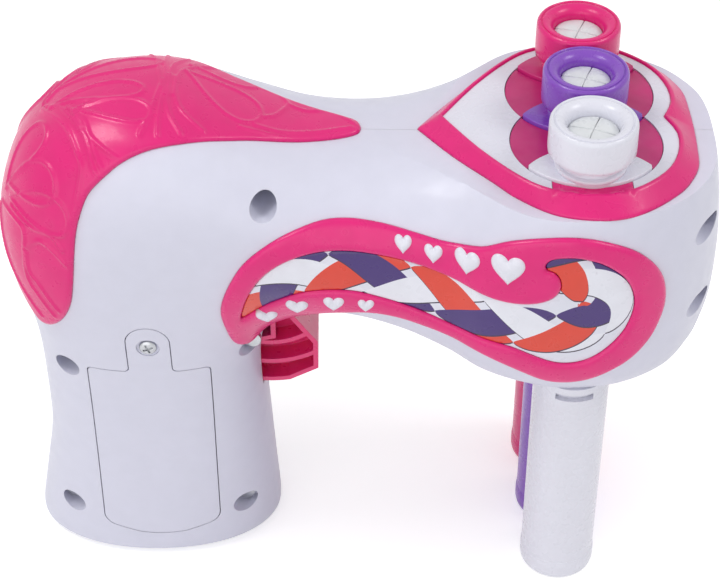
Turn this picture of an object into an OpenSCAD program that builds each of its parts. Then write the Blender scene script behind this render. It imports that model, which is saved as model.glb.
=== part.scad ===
// Automatic hair braider: a pistol-shaped body whose head carries three hair
// tubes on two toothed rotors. Half turns of the rotors cross the tubes over
// each other, which braids the strands that come out of the three knobs.
// X runs from the handle to the nose, Z is up, and Y = 0 is the mould line.

/* [Body] */
// Height of the head's shoulder above the table
shoulder_z = 147; // [143:1:151]
// Depth of the head, from its shoulder to its underside
head_depth = 72; // [69:1:75]
// Room round a rotor for the carriers, the guide and the head's wall
head_room = 24; // [23.3:0.1:25.8]
// Width of the neck between handle and head
neck_w = 66; // [62:1:70]
// Width of the handle
handle_w = 51; // [49:1:55]
// Wall of the body shells
wall = 2.2; // [1.8:0.1:2.6]
// Thickness of the rear cover
cover_t = 1.3; // [1:0.1:2]
// Height of the side trims above the shells
trim_t = 1.4; // [0.8:0.1:2]
// Height of the printed panels above the shells
panel_t = 0.4; // [0.3:0.1:0.7]
// Height of the little hearts above the trims
stud_t = 1; // [0.6:0.1:1.4]

/* [Head] */
// X of the rotor axes
head_x = 62.3; // [61:0.1:64]
// Distance between neighbouring hair tubes
pitch = 24.4; // [24:0.1:25]
// Radius of a rotor's opening in the deck
rotor_r = 21.2; // [20.8:0.1:21.6]
// Running gap between rotors, carriers and openings
run_gap = 0.2; // [0.15:0.05:0.3]
// Height of the deck plate above the shoulder
deck_rise = 4.3; // [3:0.1:6]
// Thickness of the deck plate
deck_t = 1.8; // [1.2:0.1:2.4]
// Outer diameter of a hair tube
tube_d = 22.4; // [21:0.1:23]
// Inner diameter of a hair tube
tube_bore_d = 19; // [18:0.1:19.6]
// Outer diameter of a carrier's column
column_d = 16; // [14:0.5:17]
// Diameter of the hair passage through a carrier
hair_bore_d = 12.4; // [10:0.2:12.8]
// Height of a knob's top above the deck
knob_rise = 15.7; // [13:0.1:18]
// Diameter of a knob at its top
knob_d = 23.2; // [21:0.1:23.6]

/* [Gears] */
// Teeth round a rotor
rotor_teeth = 40; // [40:2:40]
// Tooth size of the rotors and of the gears that drive them
rotor_module = 1; // [0.98:0.01:1.02]
// Teeth of a drive gear
drive_teeth = 20; // [18:2:20]
// Tooth size of the first stage
first_module = 0.6; // [0.58:0.01:0.62]
// Diameter of the gear axles
axle_d = 3; // [2.4:0.1:3.4]
// Height of the toothed rims
rim_t = 6; // [5:0.5:7]
// Diameter of the motor
motor_d = 20; // [18:0.5:21]
// Length of the motor's can
motor_len = 21; // [18:0.5:22]

/* [Trigger] */
// Width of the trigger
trigger_w = 14; // [12:0.5:16]
// Distance of the trigger's foot from its pivot
trigger_len = 35; // [33:0.5:36]
// Diameter of the pivot pin
pivot_d = 3; // [2.4:0.1:3.4]

/* [Battery bay] */
// Diameter of a battery
cell_d = 14.5; // [14:0.1:14.8]
// Length of a battery
cell_len = 50.5; // [50:0.1:51]
// Width of the battery door
door_w = 36; // [35:0.5:37]
// Height of the door's straight part
door_h = 70; // [68:0.5:71]
// Gap round the door
door_gap = 0.25; // [0.2:0.05:0.4]

/* [Fasteners] */
// Diameter of the screws that join the shells
screw_d = 2.6; // [2:0.1:3]
// Diameter of the counterbores over them
counterbore_d = 7.4; // [7:0.1:8.6]

/* [Hidden] */

PINK = [0.92, 0.22, 0.52];
PURPLE = [0.55, 0.30, 0.80];
WHITE = [0.95, 0.94, 0.97];
STEEL = [0.75, 0.76, 0.78];
BRASS = [0.80, 0.66, 0.35];
NYLON = [0.90, 0.88, 0.80];
DARK = [0.20, 0.20, 0.22];

eps = 0.01;
fine = 64;

// ---------- the body's form ----------

sz = shoulder_z;
uz = shoulder_z - head_depth;
head_r = rotor_r + head_room;
hw = handle_w / 2;
nw = neck_w / 2;
nose_x = 58.8;

// One row for each section of the body, from the foot to the nose:
// rear or top point, front or under point, half width, squareness.
ROWS = [
    [-99.4, 0, -29.6, 0, hw - 4.2, 2.1],
    [-102.3, 1.4, -26.8, 1.4, hw - 1.6, 2.1],
    [-103, 4, -25.9, 4, hw - 0.8, 2.15],
    [-100.2, 20, -26.9, 20, hw - 0.4, 2.25],
    [-96.9, 40, -28.1, 40, hw - 0.4, 2.4],
    [-96.5, 60, -29.1, 58, hw, 2.4],
    [-97.2, 80, -29.5, 70.5, hw + 1.2, 2.4],
    [-100, 98, -28.9, 77.5, hw + 2.8, 2.4],
    [-102.7, 116, -27.5, 82.5, hw + 4.4, 2.4],
    [-100.6, sz - 14.4, -24.9, 86.3, nw - 2, 2.4],
    [-93.4, sz + 1, -21.2, 89, nw - 1, 2.4],
    [-81.3, sz + 11.3, -17, 90.6, nw - 0.4, 2.4],
    [-66.7, sz + 15.2, -12.5, 91.7, nw - 0.2, 2.4],
    [-50.7, sz + 13.8, -8.4, 92.3, nw, 2.4],
    [-33.7, sz + 8, -4.3, 92.5, nw, 2.35],
    [-16.7, sz + 2.4, -0.2, 92.2, nw, 2.35],
    [-0.7, sz + 0.3, 5.3, 91, nw + 0.3, 2.45],
    [13.3, sz + 1, 14.3, uz + 13, nw + 1.6, 2.6],
    [25.3, sz + 3, 25.3, uz + 8.7, nw + 4.4, 2.9],
    [35.3, sz + 6, 35.3, uz + 4.7, head_r - 3.1, 3.2],
    [47.3, sz + 12, 47.3, uz + 2.8, head_r - 0.7, 3.8],
    nose_row(0, sz + 14, uz + 1.6, 4),
    nose_row(20, sz + 14, uz + 1.4, 4),
    nose_row(40, sz + 14, uz + 2, 3.7),
    nose_row(55, sz + 9, uz + 5.5, 3.2),
    nose_row(64, sz, uz + 10, 2.9),
    nose_row(72, sz - 14, uz + 15, 2.6),
    nose_row(82, sz - 28, uz + 22, 2.3),
    nose_row(88, sz - 36, uz + 27, 2),
];

// A section of the nose, where the head is round in plan.
function nose_row(a, top, under, squareness) = [
    nose_x + head_r * sin(a), top, nose_x + head_r * sin(a), under,
    head_r * cos(a), squareness];

// A smooth curve through the rows, at row number t.
function row_at(t) =
    let (n = len(ROWS) - 1, i = min(floor(t), n - 1), f = t - i,
         p0 = ROWS[max(i - 1, 0)], p1 = ROWS[i],
         p2 = ROWS[i + 1], p3 = ROWS[min(i + 2, n)])
    0.5 * (2 * p1 + (p2 - p0) * f + (2 * p0 - 5 * p1 + 4 * p2 - p3) * f * f
           + (3 * p1 - p0 - 3 * p2 + p3) * f * f * f);

// The outline of one section, moved out by d, as points in space.
function section(row, d, n) =
    let (top = [row[0], row[1]], under = [row[2], row[3]],
         mid = (top + under) / 2, long = norm(top - under) / 2,
         dir = (top - under) / (2 * long), q = 2 / row[5],
         a = max(long + d, 0.3), b = max(row[4] + d, 0.3))
    [for (k = [0 : n - 1])
        let (w = 360 * k / n, u = a * sign(cos(w)) * pow(abs(cos(w)), q),
             v = b * sign(sin(w)) * pow(abs(sin(w)), q))
        [mid[0] + u * dir[0], v, mid[1] + u * dir[1]]];

// A closed skin over a list of sections with equal numbers of points.
module skin(sections) {
    n = len(sections[0]);
    last = len(sections) - 1;
    polyhedron(
        points = [for (s = sections) each s],
        faces = concat(
            [[for (k = [n - 1 : -1 : 0]) k]],
            [[for (k = [0 : n - 1]) last * n + k]],
            [for (s = [0 : last - 1], k = [0 : n - 1])
                let (a = s * n + k, b = s * n + (k + 1) % n)
                each [[a, b + n, a + n], [a, b, b + n]]]));
}

// The body's form moved out by d, between two row numbers.
module body_form(d, from = 0, to = 28, step = 0.5, n = 32)
    skin([for (t = [from : step : to]) section(row_at(t), d, n)]);

// ---------- shared shapes ----------

// A smooth line through points; each stretch is drawn in n steps. A closed
// outline, whose first point comes again as the last, is given once round.
function curve(pts, n = 3, closed = true) =
    let (last = len(pts) - 1)
    [for (i = [0 : last - 1], k = [0 : (closed || i < last - 1) ? n - 1 : n])
        let (f = k / n, p0 = pts[max(i - 1, 0)], p1 = pts[i],
             p2 = pts[i + 1], p3 = pts[min(i + 2, last)])
        0.5 * (2 * p1 + (p2 - p0) * f + (2 * p0 - 5 * p1 + 4 * p2 - p3) * f * f
               + (3 * p1 - p0 - 3 * p2 + p3) * f * f * f)];

// The points in reverse order, mirrored over the X axis.
function mirrored(pts) = [for (i = [len(pts) - 1 : -1 : 0]) [pts[i][0], -pts[i][1]]];

// Points drawn in towards a centre by a distance.
function drawn_in(pts, centre, d) =
    [for (p = pts) centre + (p - centre) * (1 - d / norm(p - centre))];

// An outline drawn in X and Z, made solid from y0 to y1.
module side_prism(y0, y1)
    translate([0, y1, 0]) rotate([90, 0, 0]) linear_extrude(y1 - y0) children();

// A cylinder along Y from y0 to y1, at (x, z).
module cross_pin(x, z, d, y0, y1)
    translate([x, y1, z]) rotate([90, 0, 0]) cylinder(d = d, h = y1 - y0, $fn = fine);

// The same on the other side of the mould line.
module left_side() mirror([0, 1, 0]) children();

// ---------- head geometry ----------

half_pitch = pitch / 2;
deck_z = sz + deck_rise;
knob_top = deck_z + knob_rise;
bell_r = tube_d / 2 + half_pitch + 0.8;
guide_t = 3.2;
rotor_t = 2.2;
web_w = 30;
web_t = 5.6;
lens_rise = 0.9;
lens_w = 33.4;
membrane_d = 14;
membrane_t = 0.8;
slit_w = 0.3;
tab_w = 21.6;
tab_t = 1.6;
deck_gap = 0.15;
heart_mid = [-8, 0];
guide_z = uz + 6;
tube_top = guide_z - 1;
rim_z = 128;
rotor_top = deck_z - 0.3;
rim_r = rotor_module * (rotor_teeth / 2 + 0.8) + 0.4;
collar_w = 2;
guide_edge = 4.8;

// The two rotor openings side by side, from z0 to z1.
module figure_eight(r, z0, z1)
    for (side = [-1, 1])
        translate([head_x, side * half_pitch, z0])
            cylinder(r = r, h = z1 - z0, $fn = fine);

// The lens that two rotor circles share, round a carrier at y.
module lens(y, r, z0, z1, w = lens_w)
    intersection() {
        translate([head_x - w / 2, y - r, z0]) cube([w, 2 * r, z1 - z0]);
        translate([head_x, y + half_pitch, z0]) cylinder(r = r, h = z1 - z0, $fn = fine);
        translate([head_x, y - half_pitch, z0]) cylinder(r = r, h = z1 - z0, $fn = fine);
    }

// A toothed disc round the origin, with a tooth on the given angle.
function teeth(n, m, phase) =
    let (tip = m * (n / 2 + 0.8), root = m * (n / 2 - 1.15), w = 180 / n)
    [for (k = [0 : n - 1], p = [[-0.64, 0], [-0.2, 1], [0.2, 1], [0.64, 0]])
        let (a = phase + 360 * k / n + p[0] * w, r = p[1] == 1 ? tip : root)
        [r * cos(a), r * sin(a)]];

module gear(x, y, n, m, phase, z0, z1)
    translate([x, y, z0]) linear_extrude(z1 - z0) polygon(teeth(n, m, phase));

// Where a gear's tooth has to point so that it meshes with its driver:
// the driver's tooth angle and teeth, its own teeth, and the line between them.
function meshed(driver_phase, driver_n, n, line) =
    line + 180 + 180 / n - (driver_phase - line) * driver_n / n;

// ---------- gear train ----------

mesh_gap = 0.1;
drive_x = head_x - rotor_module * (rotor_teeth + drive_teeth) / 2 - mesh_gap;
drive_phase = meshed(0, rotor_teeth, drive_teeth, 180);
small_teeth = 12;
wheel_teeth = 40;
pinion_teeth = 10;
second_line = 198;
second_gap = rotor_module * (drive_teeth + small_teeth) / 2 + mesh_gap;
wheel_x = drive_x + second_gap * cos(second_line);
wheel_y = half_pitch + second_gap * sin(second_line);
small_phase = meshed(drive_phase, drive_teeth, small_teeth, second_line);
first_gap = first_module * (wheel_teeth + pinion_teeth) / 2 + mesh_gap;
first_line = 180 + asin(wheel_y / first_gap);
motor_x = wheel_x + first_gap * cos(first_line);
pinion_phase = meshed(small_phase, wheel_teeth, pinion_teeth, first_line);
plate_z = rim_z - 3.5;
plate_t = 2;
wheel_z = rim_z + rim_t + 0.3;
wheel_t = 3.6;
motor_top = plate_z - 0.05;
motor_nose_d = 6;

// Gear axles: x, y and the height of the gear's top.
AXLES = [
    [drive_x, half_pitch, rim_z + rim_t], [drive_x, -half_pitch, rim_z + rim_t],
    [wheel_x, wheel_y, wheel_z + wheel_t]];

// ---------- trigger and switch geometry ----------

pivot_x = -27.4;
pivot_z = 93;
trigger_back = -36.2;
trigger_front = -12.8;
slot_w = trigger_w + 1;
pin_reach = 17;
switch_front = trigger_back - 3.3;
plunger_d = 2.2;
plunger_gap = 0.3;
switch_z = pivot_z - 20.5;
spring_z = pivot_z - 31;

// ---------- battery bay geometry ----------

bay_x = -62.2;
door_foot = 9.5;
door_top = door_foot + door_h;
tab_x = -61.4;
tab_r = 6.3;
tab_z = door_top + 12.7;
door_screw_z = tab_z - 2;
bay_depth = cell_d + 0.6;
tray_wall = 1.2;
tray_w = 2 * cell_d + 2 * tray_wall + 2;
tray_foot = door_foot + 3.5;
tray_h = cell_len + 2 * tray_wall + 8;
tray_front = -19.8;
tray_back = tray_front + bay_depth + tray_wall;
tray_side = bay_x + tray_w / 2;
door_head_y = -28;
tab_boss_y = -21.5;

// ---------- outlines ----------

// Half of the deck plate's heart, from its point to the cleft at the nose.
deck_half = curve([
    [-39.3, 0], [-29.5, 15.6], [-19, 28.4], [-10.8, 34.2], [0, 36.3], [10.5, 34.2],
    [19.9, 26.6], [24.6, 17.5], [25.6, 8], [22.7, 0]], 3, false);

// Half of the bezel's outer heart, from its point to the nose.
bezel_half = curve([
    [-46.3, 0], [-36.6, 13.4], [-26.7, 24.8], [-20, 32.6], [-10.7, 39.7], [-1, 42.2],
    [8, 41.6], [16.2, 37.4], [24.4, 30], [28.4, 24], [30.9, 17.4], [31.6, 8],
    [31.8, 0]], 3, false);

// A whole heart of a half outline, on the head; as points at a height, or flat.
function heart_at(half, z) = [for (p = heart(half)) [p[0], p[1], z]];
function heart(half) =
    [for (p = half) [p[0] + head_x, p[1]],
     for (i = [len(half) - 2 : -1 : 1]) [half[i][0] + head_x, -half[i][1]]];

// The side trim's outer edge, from its lower point round the nose and back.
TRIM_EDGE = curve([[-31.6, 84.6], [-36.4, 86.5], [-38.8, 96], [-39.6, 106.5], [-36.4, 117.4],
           [-31.3, 126.2], [-23, 133], [-12.7, 136.6], [-4, 137.3], [6, 136.4],
           [16, 134.9], [24, 134.2], [32.4, 135.7], [40.4, 139.6], [48.2, 141.9],
           [56.4, 142.8], [64.6, 141.4], [73.2, 137.5], [79, 131.8], [82.6, 125.6],
           [84.2, 119], [84, 112.6], [81.5, 105], [76.8, 99], [70.5, 94.6],
           [64, 91.5], [57.7, 90.6], [51, 91.6], [42.5, 95.6], [33.8, 99.4],
           [25.3, 102], [17.7, 104.1], [10, 106], [3, 106.6], [-5, 105.2],
           [-15, 101.2], [-24, 94.6], [-31.6, 84.6]], 2);

// The window in the trim that shows the printed panel.
WINDOW_EDGE = curve([
    [-33.9, 101.2], [-32.6, 108.8], [-29.8, 116], [-25.6, 122.1], [-19.7, 126.3],
    [-12.2, 128.6], [-4, 129], [5, 128.1], [14.8, 126.5], [24.6, 124], [32, 121.8],
    [38, 120.4], [43.5, 120], [48.5, 120.8], [52.2, 122.8], [54.3, 126], [54, 129.4],
    [52.4, 131.6], [50.3, 132.6], [50, 134.2], [51.4, 135.8], [54.5, 136.6],
    [59, 136.4], [65, 134.2], [70.5, 129.8], [73.6, 124.9], [75, 119.6], [74.6, 114.6],
    [72.6, 109.2], [68.3, 103.8], [63.2, 100.2], [57.5, 99.1], [51.5, 100.2],
    [42, 104], [33.4, 105.6], [25, 107.2], [15, 110.8], [5, 113.8], [-2.3, 115.6],
    [-9.9, 115.6], [-17.5, 113.8], [-25.2, 108.8], [-30.2, 104.4], [-33.9, 101.2]], 2);

// The cover's edge seen from above: half width against X.
COVER_TOP = curve([
    [0.2, 0], [-0.8, 2.8], [-5.4, 5.2], [-14, 8.1], [-29.6, 13], [-38.8, 16.5], [-47.8, 19.9],
    [-57, 22.3], [-64, 24.2], [-70.5, 26.4], [-72, 27]], 2);

// The cover's edge seen from the side, below its shoulder, to the rear lobe.
COVER_SIDE = curve([
    [-69.7, 149.3], [-74.5, 143.5], [-77.5, 135.4], [-79, 127.7], [-80.5, 115.5],
    [-82.1, 106.4], [-85, 99.4], [-88.7, 94.4], [-91.9, 93], [-94.5, 95],
    [-98, 100]], 2);

// The hearts on the trim: x, z and width.
HEARTS = [
    [12.1, 130.6, 4.4], [20.4, 129.5, 5], [29.6, 129.2, 6.6], [40.2, 129.9, 8.4],
    [-27.4, 98.6, 6], [-18.2, 105, 6.6], [-7.6, 108.6, 5.8], [1.6, 109.6, 4.4]];

// Screws that join the shells: x and z.
SCREWS = [
    [-26.5, 141.2], [-86.6, 77], [-32.2, 80.5], [-90.2, 17.5], [-36.2, 16.5],
    [96, 131], [96.4, 104]];
screw_floor = 12;
boss_d = counterbore_d + 2.8;
post_d = screw_d + 3.4;

// ---------- body shells ----------

// The block that cuts the head off flat at its shoulder.
module above_shoulder() translate([16, -70, sz]) cube([120, 140, 60]);

// The solid ring of the body's form between two offsets.
module body_layer(outer, inner, step = 0.5)
    difference() {
        body_form(outer, step = step);
        body_form(inner, step = step);
    }

module door_outline(gap)
    union() {
        translate([bay_x - door_w / 2 - gap, door_foot + 8])
            square([door_w + 2 * gap, door_h - 8 + gap]);
        intersection() {
            translate([bay_x, door_foot + 24]) circle(r = 24 + gap, $fn = fine);
            translate([bay_x - door_w / 2 - gap, door_foot - gap])
                square([door_w + 2 * gap, 20]);
        }
        translate([tab_x - tab_r - gap, door_top - 1])
            square([2 * tab_r + 2 * gap, tab_z - door_top + 1]);
        translate([tab_x, tab_z]) circle(r = tab_r + gap, $fn = fine);
    }

// Posts for the screws and the bearing of the trigger's pin, from the wall to the mould line.
module posts(counterbored)
    intersection() {
        union() {
            for (p = SCREWS) {
                cross_pin(p[0], p[1], post_d, -60, -0.05);
                if (counterbored) cross_pin(p[0], p[1], boss_d, -60, 2 - screw_floor);
            }
            cross_pin(pivot_x, pivot_z, pivot_d + 4, -40, -trigger_w / 2 - 0.3);
        }
        body_form(-0.4, step = 1);
    }

// The form of the hollow inside the shells, d inside the body's form.
module inner_form(d) body_form(-d, to = 25.8, step = 0.6, n = 28);

// The body's form hollowed out, with its roof under the deck.
module hollow_form()
    difference() {
        body_form(0);
        difference() {
            inner_form(wall);
            translate([-120, -60, -10]) cube([240, 120, 10 + wall]);
            translate([0, 0, -wall]) above_shoulder();
        }
        side_prism(-slot_w / 2, slot_w / 2) polygon([
            [trigger_back - 4, pivot_z - trigger_len - 0.9],
            [trigger_front + 1, pivot_z - trigger_len - 0.9],
            [trigger_front + 1, pivot_z - trigger_len + 16],
            [pivot_x + 6.6, pivot_z - 6], [pivot_x + 4.6, pivot_z + 4.4],
            [pivot_x - 4.6, pivot_z + 4.4], [trigger_back - 4, pivot_z - 5]]);
    }

// One shell with its posts; the battery side also has counterbores.
module shell(counterbored)
    difference() {
        union() {
            hollow_form();
            posts(counterbored);
        }
        translate([-120, -0.02, -1]) cube([240, 60, 200]);
        above_shoulder();
        figure_eight(rotor_r + 1.2, sz - 10, sz + 10);
        figure_eight(bell_r, uz - 10, guide_z);
        figure_eight(rotor_r + 0.3, guide_z - 1, guide_z + 2 * guide_t);
        cross_pin(pivot_x, pivot_z, pivot_d, -pin_reach, 0);
    }

module housing_right() color(WHITE) {
    difference() {
        shell(true);
        for (p = SCREWS) {
            cross_pin(p[0], p[1], counterbore_d, -60, -screw_floor);
            cross_pin(p[0], p[1], screw_d + 0.3, -60, 1);
        }
        side_prism(-60, -14) door_outline(door_gap);
    }
    difference() {
        intersection() {
            side_prism(-60, tab_boss_y) translate([tab_x - tab_r - 2, door_top + 1])
                square([2 * tab_r + 4, tab_z + tab_r + 2 - door_top]);
            body_form(0.15 - wall, step = 1);
        }
        cross_pin(tab_x, door_screw_z, screw_d, -40, 0);
    }
}

module housing_left() color(WHITE) left_side()
    difference() {
        shell(false);
        for (p = SCREWS) cross_pin(p[0], p[1], screw_d, -9, 1);
    }

module screw(x, z, head_y, length)
    union() {
        cross_pin(x, z, 2 * screw_d, head_y - 1.9, head_y);
        cross_pin(x, z, screw_d, head_y - 0.1, head_y + length);
    }

module housing_screws() color(STEEL)
    for (p = SCREWS) screw(p[0], p[1], -screw_floor, screw_floor + 8);

module battery_door() color(WHITE)
    difference() {
        intersection() {
            side_prism(-60, -14) door_outline(0);
            body_layer(0, 0.3 - wall);
        }
        cross_pin(tab_x, door_screw_z, screw_d + 0.4, -60, 0);
        cross_pin(tab_x, door_screw_z, 2 * screw_d + 1.6, -60, door_head_y);
    }

module door_screw() color(STEEL) screw(tab_x, door_screw_z, door_head_y, 7);

// ---------- looks on the body ----------

module back_cover() color(PINK)
    difference() {
        intersection() {
            union() {
                translate([0, 0, sz - 30]) linear_extrude(80)
                    polygon(concat(COVER_TOP, mirrored(COVER_TOP)));
                side_prism(-60, 60)
                    polygon(concat(COVER_SIDE, [[-112, 100], [-112, 190], [-69.7, 190]]));
            }
            body_layer(cover_t, 0.05);
        }
        translate([-115, 0, 80]) rotate([90, 0, 90]) linear_extrude(30)
            polygon([[-16, 0], [-8, 19], [0, 25], [8, 19], [16, 0]]);
    }

module side_trim() color(PINK)
    difference() {
        intersection() {
            side_prism(-60, -6) polygon(TRIM_EDGE);
            body_form(trim_t);
        }
        body_form(0.05);
        side_prism(-70, 0) polygon(WINDOW_EDGE);
    }

module braid_panel() color(WHITE)
    difference() {
        intersection() {
            side_prism(-60, -6) polygon(WINDOW_EDGE);
            body_form(panel_t);
        }
        body_form(0.05);
    }

// A heart of width w round the origin, its point downwards.
module small_heart(w)
    polygon([for (a = [0 : 15 : 345])
        w / 32 * [16 * pow(sin(a), 3),
                  13 * cos(a) - 5 * cos(2 * a) - 2 * cos(3 * a) - cos(4 * a)]]);

module heart_studs() color(WHITE)
    intersection() {
        side_prism(-60, -6) for (h = HEARTS) translate([h[0], h[1]]) small_heart(h[2]);
        body_layer(trim_t + stud_t, trim_t + 0.05);
    }

module side_trim_right() side_trim();
module side_trim_left() left_side() side_trim();
module braid_panel_right() braid_panel();
module braid_panel_left() left_side() braid_panel();
module heart_studs_right() heart_studs();
module heart_studs_left() left_side() heart_studs();

// ---------- deck ----------

// The two tabs where the bezel reaches in to the rotors, from z up.
module deck_tabs(gap, z)
    for (side = [-1, 1])
        translate([head_x - tab_w / 2 - gap, side * (pitch + 7) - 7, z])
            cube([tab_w + 2 * gap, 14, 8]);

module heart_bezel() color(PINK)
    difference() {
        skin([
            heart_at(drawn_in(bezel_half, heart_mid, 0), sz),
            heart_at(drawn_in(bezel_half, heart_mid, 0.7), sz + deck_rise - 1.4),
            heart_at(drawn_in(bezel_half, heart_mid, 2.2), deck_z + 0.7)]);
        difference() {
            translate([0, 0, sz - 1]) linear_extrude(10)
                polygon(heart(drawn_in(deck_half, heart_mid, -deck_gap)));
            deck_tabs(0, deck_z - tab_t);
        }
        translate([0, 0, deck_z]) linear_extrude(4)
            polygon(heart(drawn_in(deck_half, heart_mid, -deck_gap - 0.4)));
        figure_eight(rotor_r, sz - 1, deck_z + 4);
        figure_eight(rotor_r + collar_w + deck_gap, sz - 1, deck_z - tab_t);
    }

module deck_plate() color(WHITE)
    difference() {
        union() {
            translate([0, 0, deck_z - deck_t]) linear_extrude(deck_t)
                polygon(heart(deck_half));
            figure_eight(rotor_r + collar_w, sz, deck_z - deck_t + eps);
        }
        figure_eight(rotor_r, sz - 1, deck_z + 1);
        deck_tabs(deck_gap, deck_z - deck_t);
    }

module lower_guide() color(NYLON)
    difference() {
        intersection() {
            inner_form(wall + 0.2);
            translate([head_x - rotor_r - guide_edge, -50, guide_z])
                cube([2 * (rotor_r + guide_edge), 100, guide_t]);
        }
        figure_eight(rotor_r, guide_z - 1, guide_z + guide_t + 1);
    }

// ---------- rotors ----------

module rotor(y)
    difference() {
        union() {
            translate([head_x, y, rotor_top - rotor_t])
                cylinder(r = rotor_r - run_gap, h = rotor_t, $fn = fine);
            gear(head_x, y, rotor_teeth, rotor_module, 0, rim_z, rim_z + rim_t);
            translate([head_x, y, guide_z])
                cylinder(r = rotor_r - run_gap, h = guide_t, $fn = fine);
            translate([head_x - web_w / 2, y - web_t / 2, guide_z])
                cube([web_w, web_t, rotor_top - guide_z]);
        }
        for (side = [-1, 1]) {
            lens(y + side * half_pitch, rotor_r, guide_z - 1, rotor_top + 1, 2 * rotor_r);
            lens(y + side * half_pitch, rim_r, rim_z, rim_z + rim_t, 2 * rim_r);
            for (end = [-1, 1])
                translate([head_x + end * (lens_w / 2 + 4) - 5, y + side * half_pitch - 2, rim_z - 1])
                    cube([10, 4, rim_t + 2]);
        }
    }

module far_rotor() color(PINK) rotor(half_pitch);
module near_rotor() color(PINK) rotor(-half_pitch);

// Half of a knob's section, from its foot on the lens to its funnel.
knob_foot = deck_z + lens_rise;
KNOB = let (r = knob_d / 2, b = hair_bore_d / 2, m = membrane_d / 2) [
    [b, knob_foot - 2], [r - 3.4, knob_foot - 2], [r - 3.4, knob_foot + 1.2],
    [r - 2.4, knob_foot + 1.5], [r - 2.4, knob_foot + 2.1], [r - 3.4, knob_foot + 2.4],
    [r - 3.4, knob_foot + 2.8], [r - 0.3, knob_foot + 3], [r + 0.2, knob_foot + 3.6],
    [r + 0.3, knob_foot + 4.6], [r, knob_top - 1], [r - 0.3, knob_top - 0.3],
    [r - 1, knob_top], [r - 1.3, knob_top - 0.4], [r - 1.6, knob_top - 0.4],
    [r - 1.9, knob_top], [r - 2.5, knob_top - 0.1], [r - 3.4, knob_top - 0.8],
    [r - 4, knob_top - 1.8], [m + 0.3, knob_top - 3], [m + 0.05, knob_top - 3.2],
    [m + 0.05, knob_top - 3.2 - membrane_t], [b, knob_top - 3.2 - membrane_t]];

module carrier(y)
    difference() {
        union() {
            translate([head_x, y, guide_z]) cylinder(d = column_d, h = rim_z - guide_z, $fn = fine);
            translate([head_x, y, rim_z + rim_t])
                cylinder(d = column_d, h = knob_foot - rim_z - rim_t, $fn = fine);
            lens(y, rotor_r - run_gap, rotor_top - rotor_t, knob_foot);
            intersection() {
                translate([head_x - lens_w / 2 + 1, y - rim_r, rim_z])
                    cube([lens_w - 2, 2 * rim_r, rim_t]);
                gear(head_x, y + half_pitch, rotor_teeth, rotor_module, 0, rim_z, rim_z + rim_t);
                gear(head_x, y - half_pitch, rotor_teeth, rotor_module, 0, rim_z, rim_z + rim_t);
            }
            lens(y, rotor_r - run_gap, guide_z, guide_z + guide_t);
            translate([head_x, y, tube_top - 7])
                cylinder(d = tube_bore_d - 0.1, h = guide_z - tube_top + 7, $fn = fine);
            translate([head_x, y]) rotate_extrude($fn = fine) polygon(KNOB);
        }
        translate([head_x, y, tube_top - 8])
            cylinder(d = hair_bore_d, h = knob_top - tube_top, $fn = fine);
    }

// A slit rubber disc that the hair comes out of.
module membrane(y) color(WHITE)
    translate([head_x, y, knob_top - 3.2 - membrane_t])
        difference() {
            cylinder(d = membrane_d, h = membrane_t, $fn = fine);
            for (a = [20, 110]) rotate(a)
                translate([-membrane_d / 2 + 1, -slit_w / 2, -1])
                    cube([membrane_d - 2, slit_w, membrane_t + 2]);
        }

// A hair tube with its snap window and its rounded foot.
module tube(y)
    difference() {
        translate([head_x, y]) rotate_extrude($fn = fine)
            polygon([
                [tube_bore_d / 2 + 0.4, 0], [tube_d / 2 - 0.5, 0], [tube_d / 2, 0.6],
                [tube_d / 2 + 0.3, 2], [tube_d / 2 + 0.3, 5], [tube_d / 2 + 0.1, 6.5],
                [tube_d / 2 + 0.1, 6.8], [tube_d / 2, 6.9], [tube_d / 2, tube_top],
                [tube_bore_d / 2, tube_top], [tube_bore_d / 2, 1]]);
        translate([head_x - 5.5, y - tube_d, tube_top - 4.6]) cube([11, tube_d, 2.2]);
    }

module pink_carrier() color(PINK) carrier(pitch);
module purple_carrier() color(PURPLE) carrier(0);
module white_carrier() color(WHITE) carrier(-pitch);
module pink_membrane() membrane(pitch);
module purple_membrane() membrane(0);
module white_membrane() membrane(-pitch);
module pink_tube() color(PINK) tube(pitch);
module purple_tube() color(PURPLE) tube(0);
module white_tube() color(WHITE) tube(-pitch);

// ---------- drive ----------

module gear_plate() color(NYLON)
    difference() {
        intersection() {
            inner_form(wall + 0.2);
            translate([motor_x - 16, -50, plate_z]) cube([drive_x + 25 - motor_x, 100, plate_t]);
        }
        translate([motor_x, 0, plate_z - 1]) cylinder(d = motor_nose_d + 0.4, h = plate_t + 2, $fn = fine);
        for (a = AXLES) translate([a[0], a[1], plate_z - 1])
            cylinder(d = axle_d, h = plate_t + 2, $fn = fine);
    }

module gear_axles() color(STEEL)
    for (a = AXLES) translate([a[0], a[1], plate_z])
        cylinder(d = axle_d, h = a[2] + 1 - plate_z, $fn = fine);

// A gear's running bore and the hub that carries it off the plate.
module on_axle(x, y, top)
    difference() {
        union() {
            children();
            translate([x, y, plate_z + plate_t + 0.1])
                cylinder(d = axle_d + 4, h = top - plate_z - plate_t - 0.1, $fn = fine);
        }
        translate([x, y, plate_z]) cylinder(d = axle_d + 0.1, h = top + 1 - plate_z, $fn = fine);
    }

module drive_gear() color(NYLON)
    on_axle(drive_x, half_pitch, rim_z + rim_t)
        gear(drive_x, half_pitch, drive_teeth, rotor_module, drive_phase, rim_z, rim_z + rim_t);

module near_drive_gear() color(NYLON)
    on_axle(drive_x, -half_pitch, rim_z + rim_t)
        gear(drive_x, -half_pitch, drive_teeth, rotor_module, drive_phase, rim_z, rim_z + rim_t);

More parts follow.
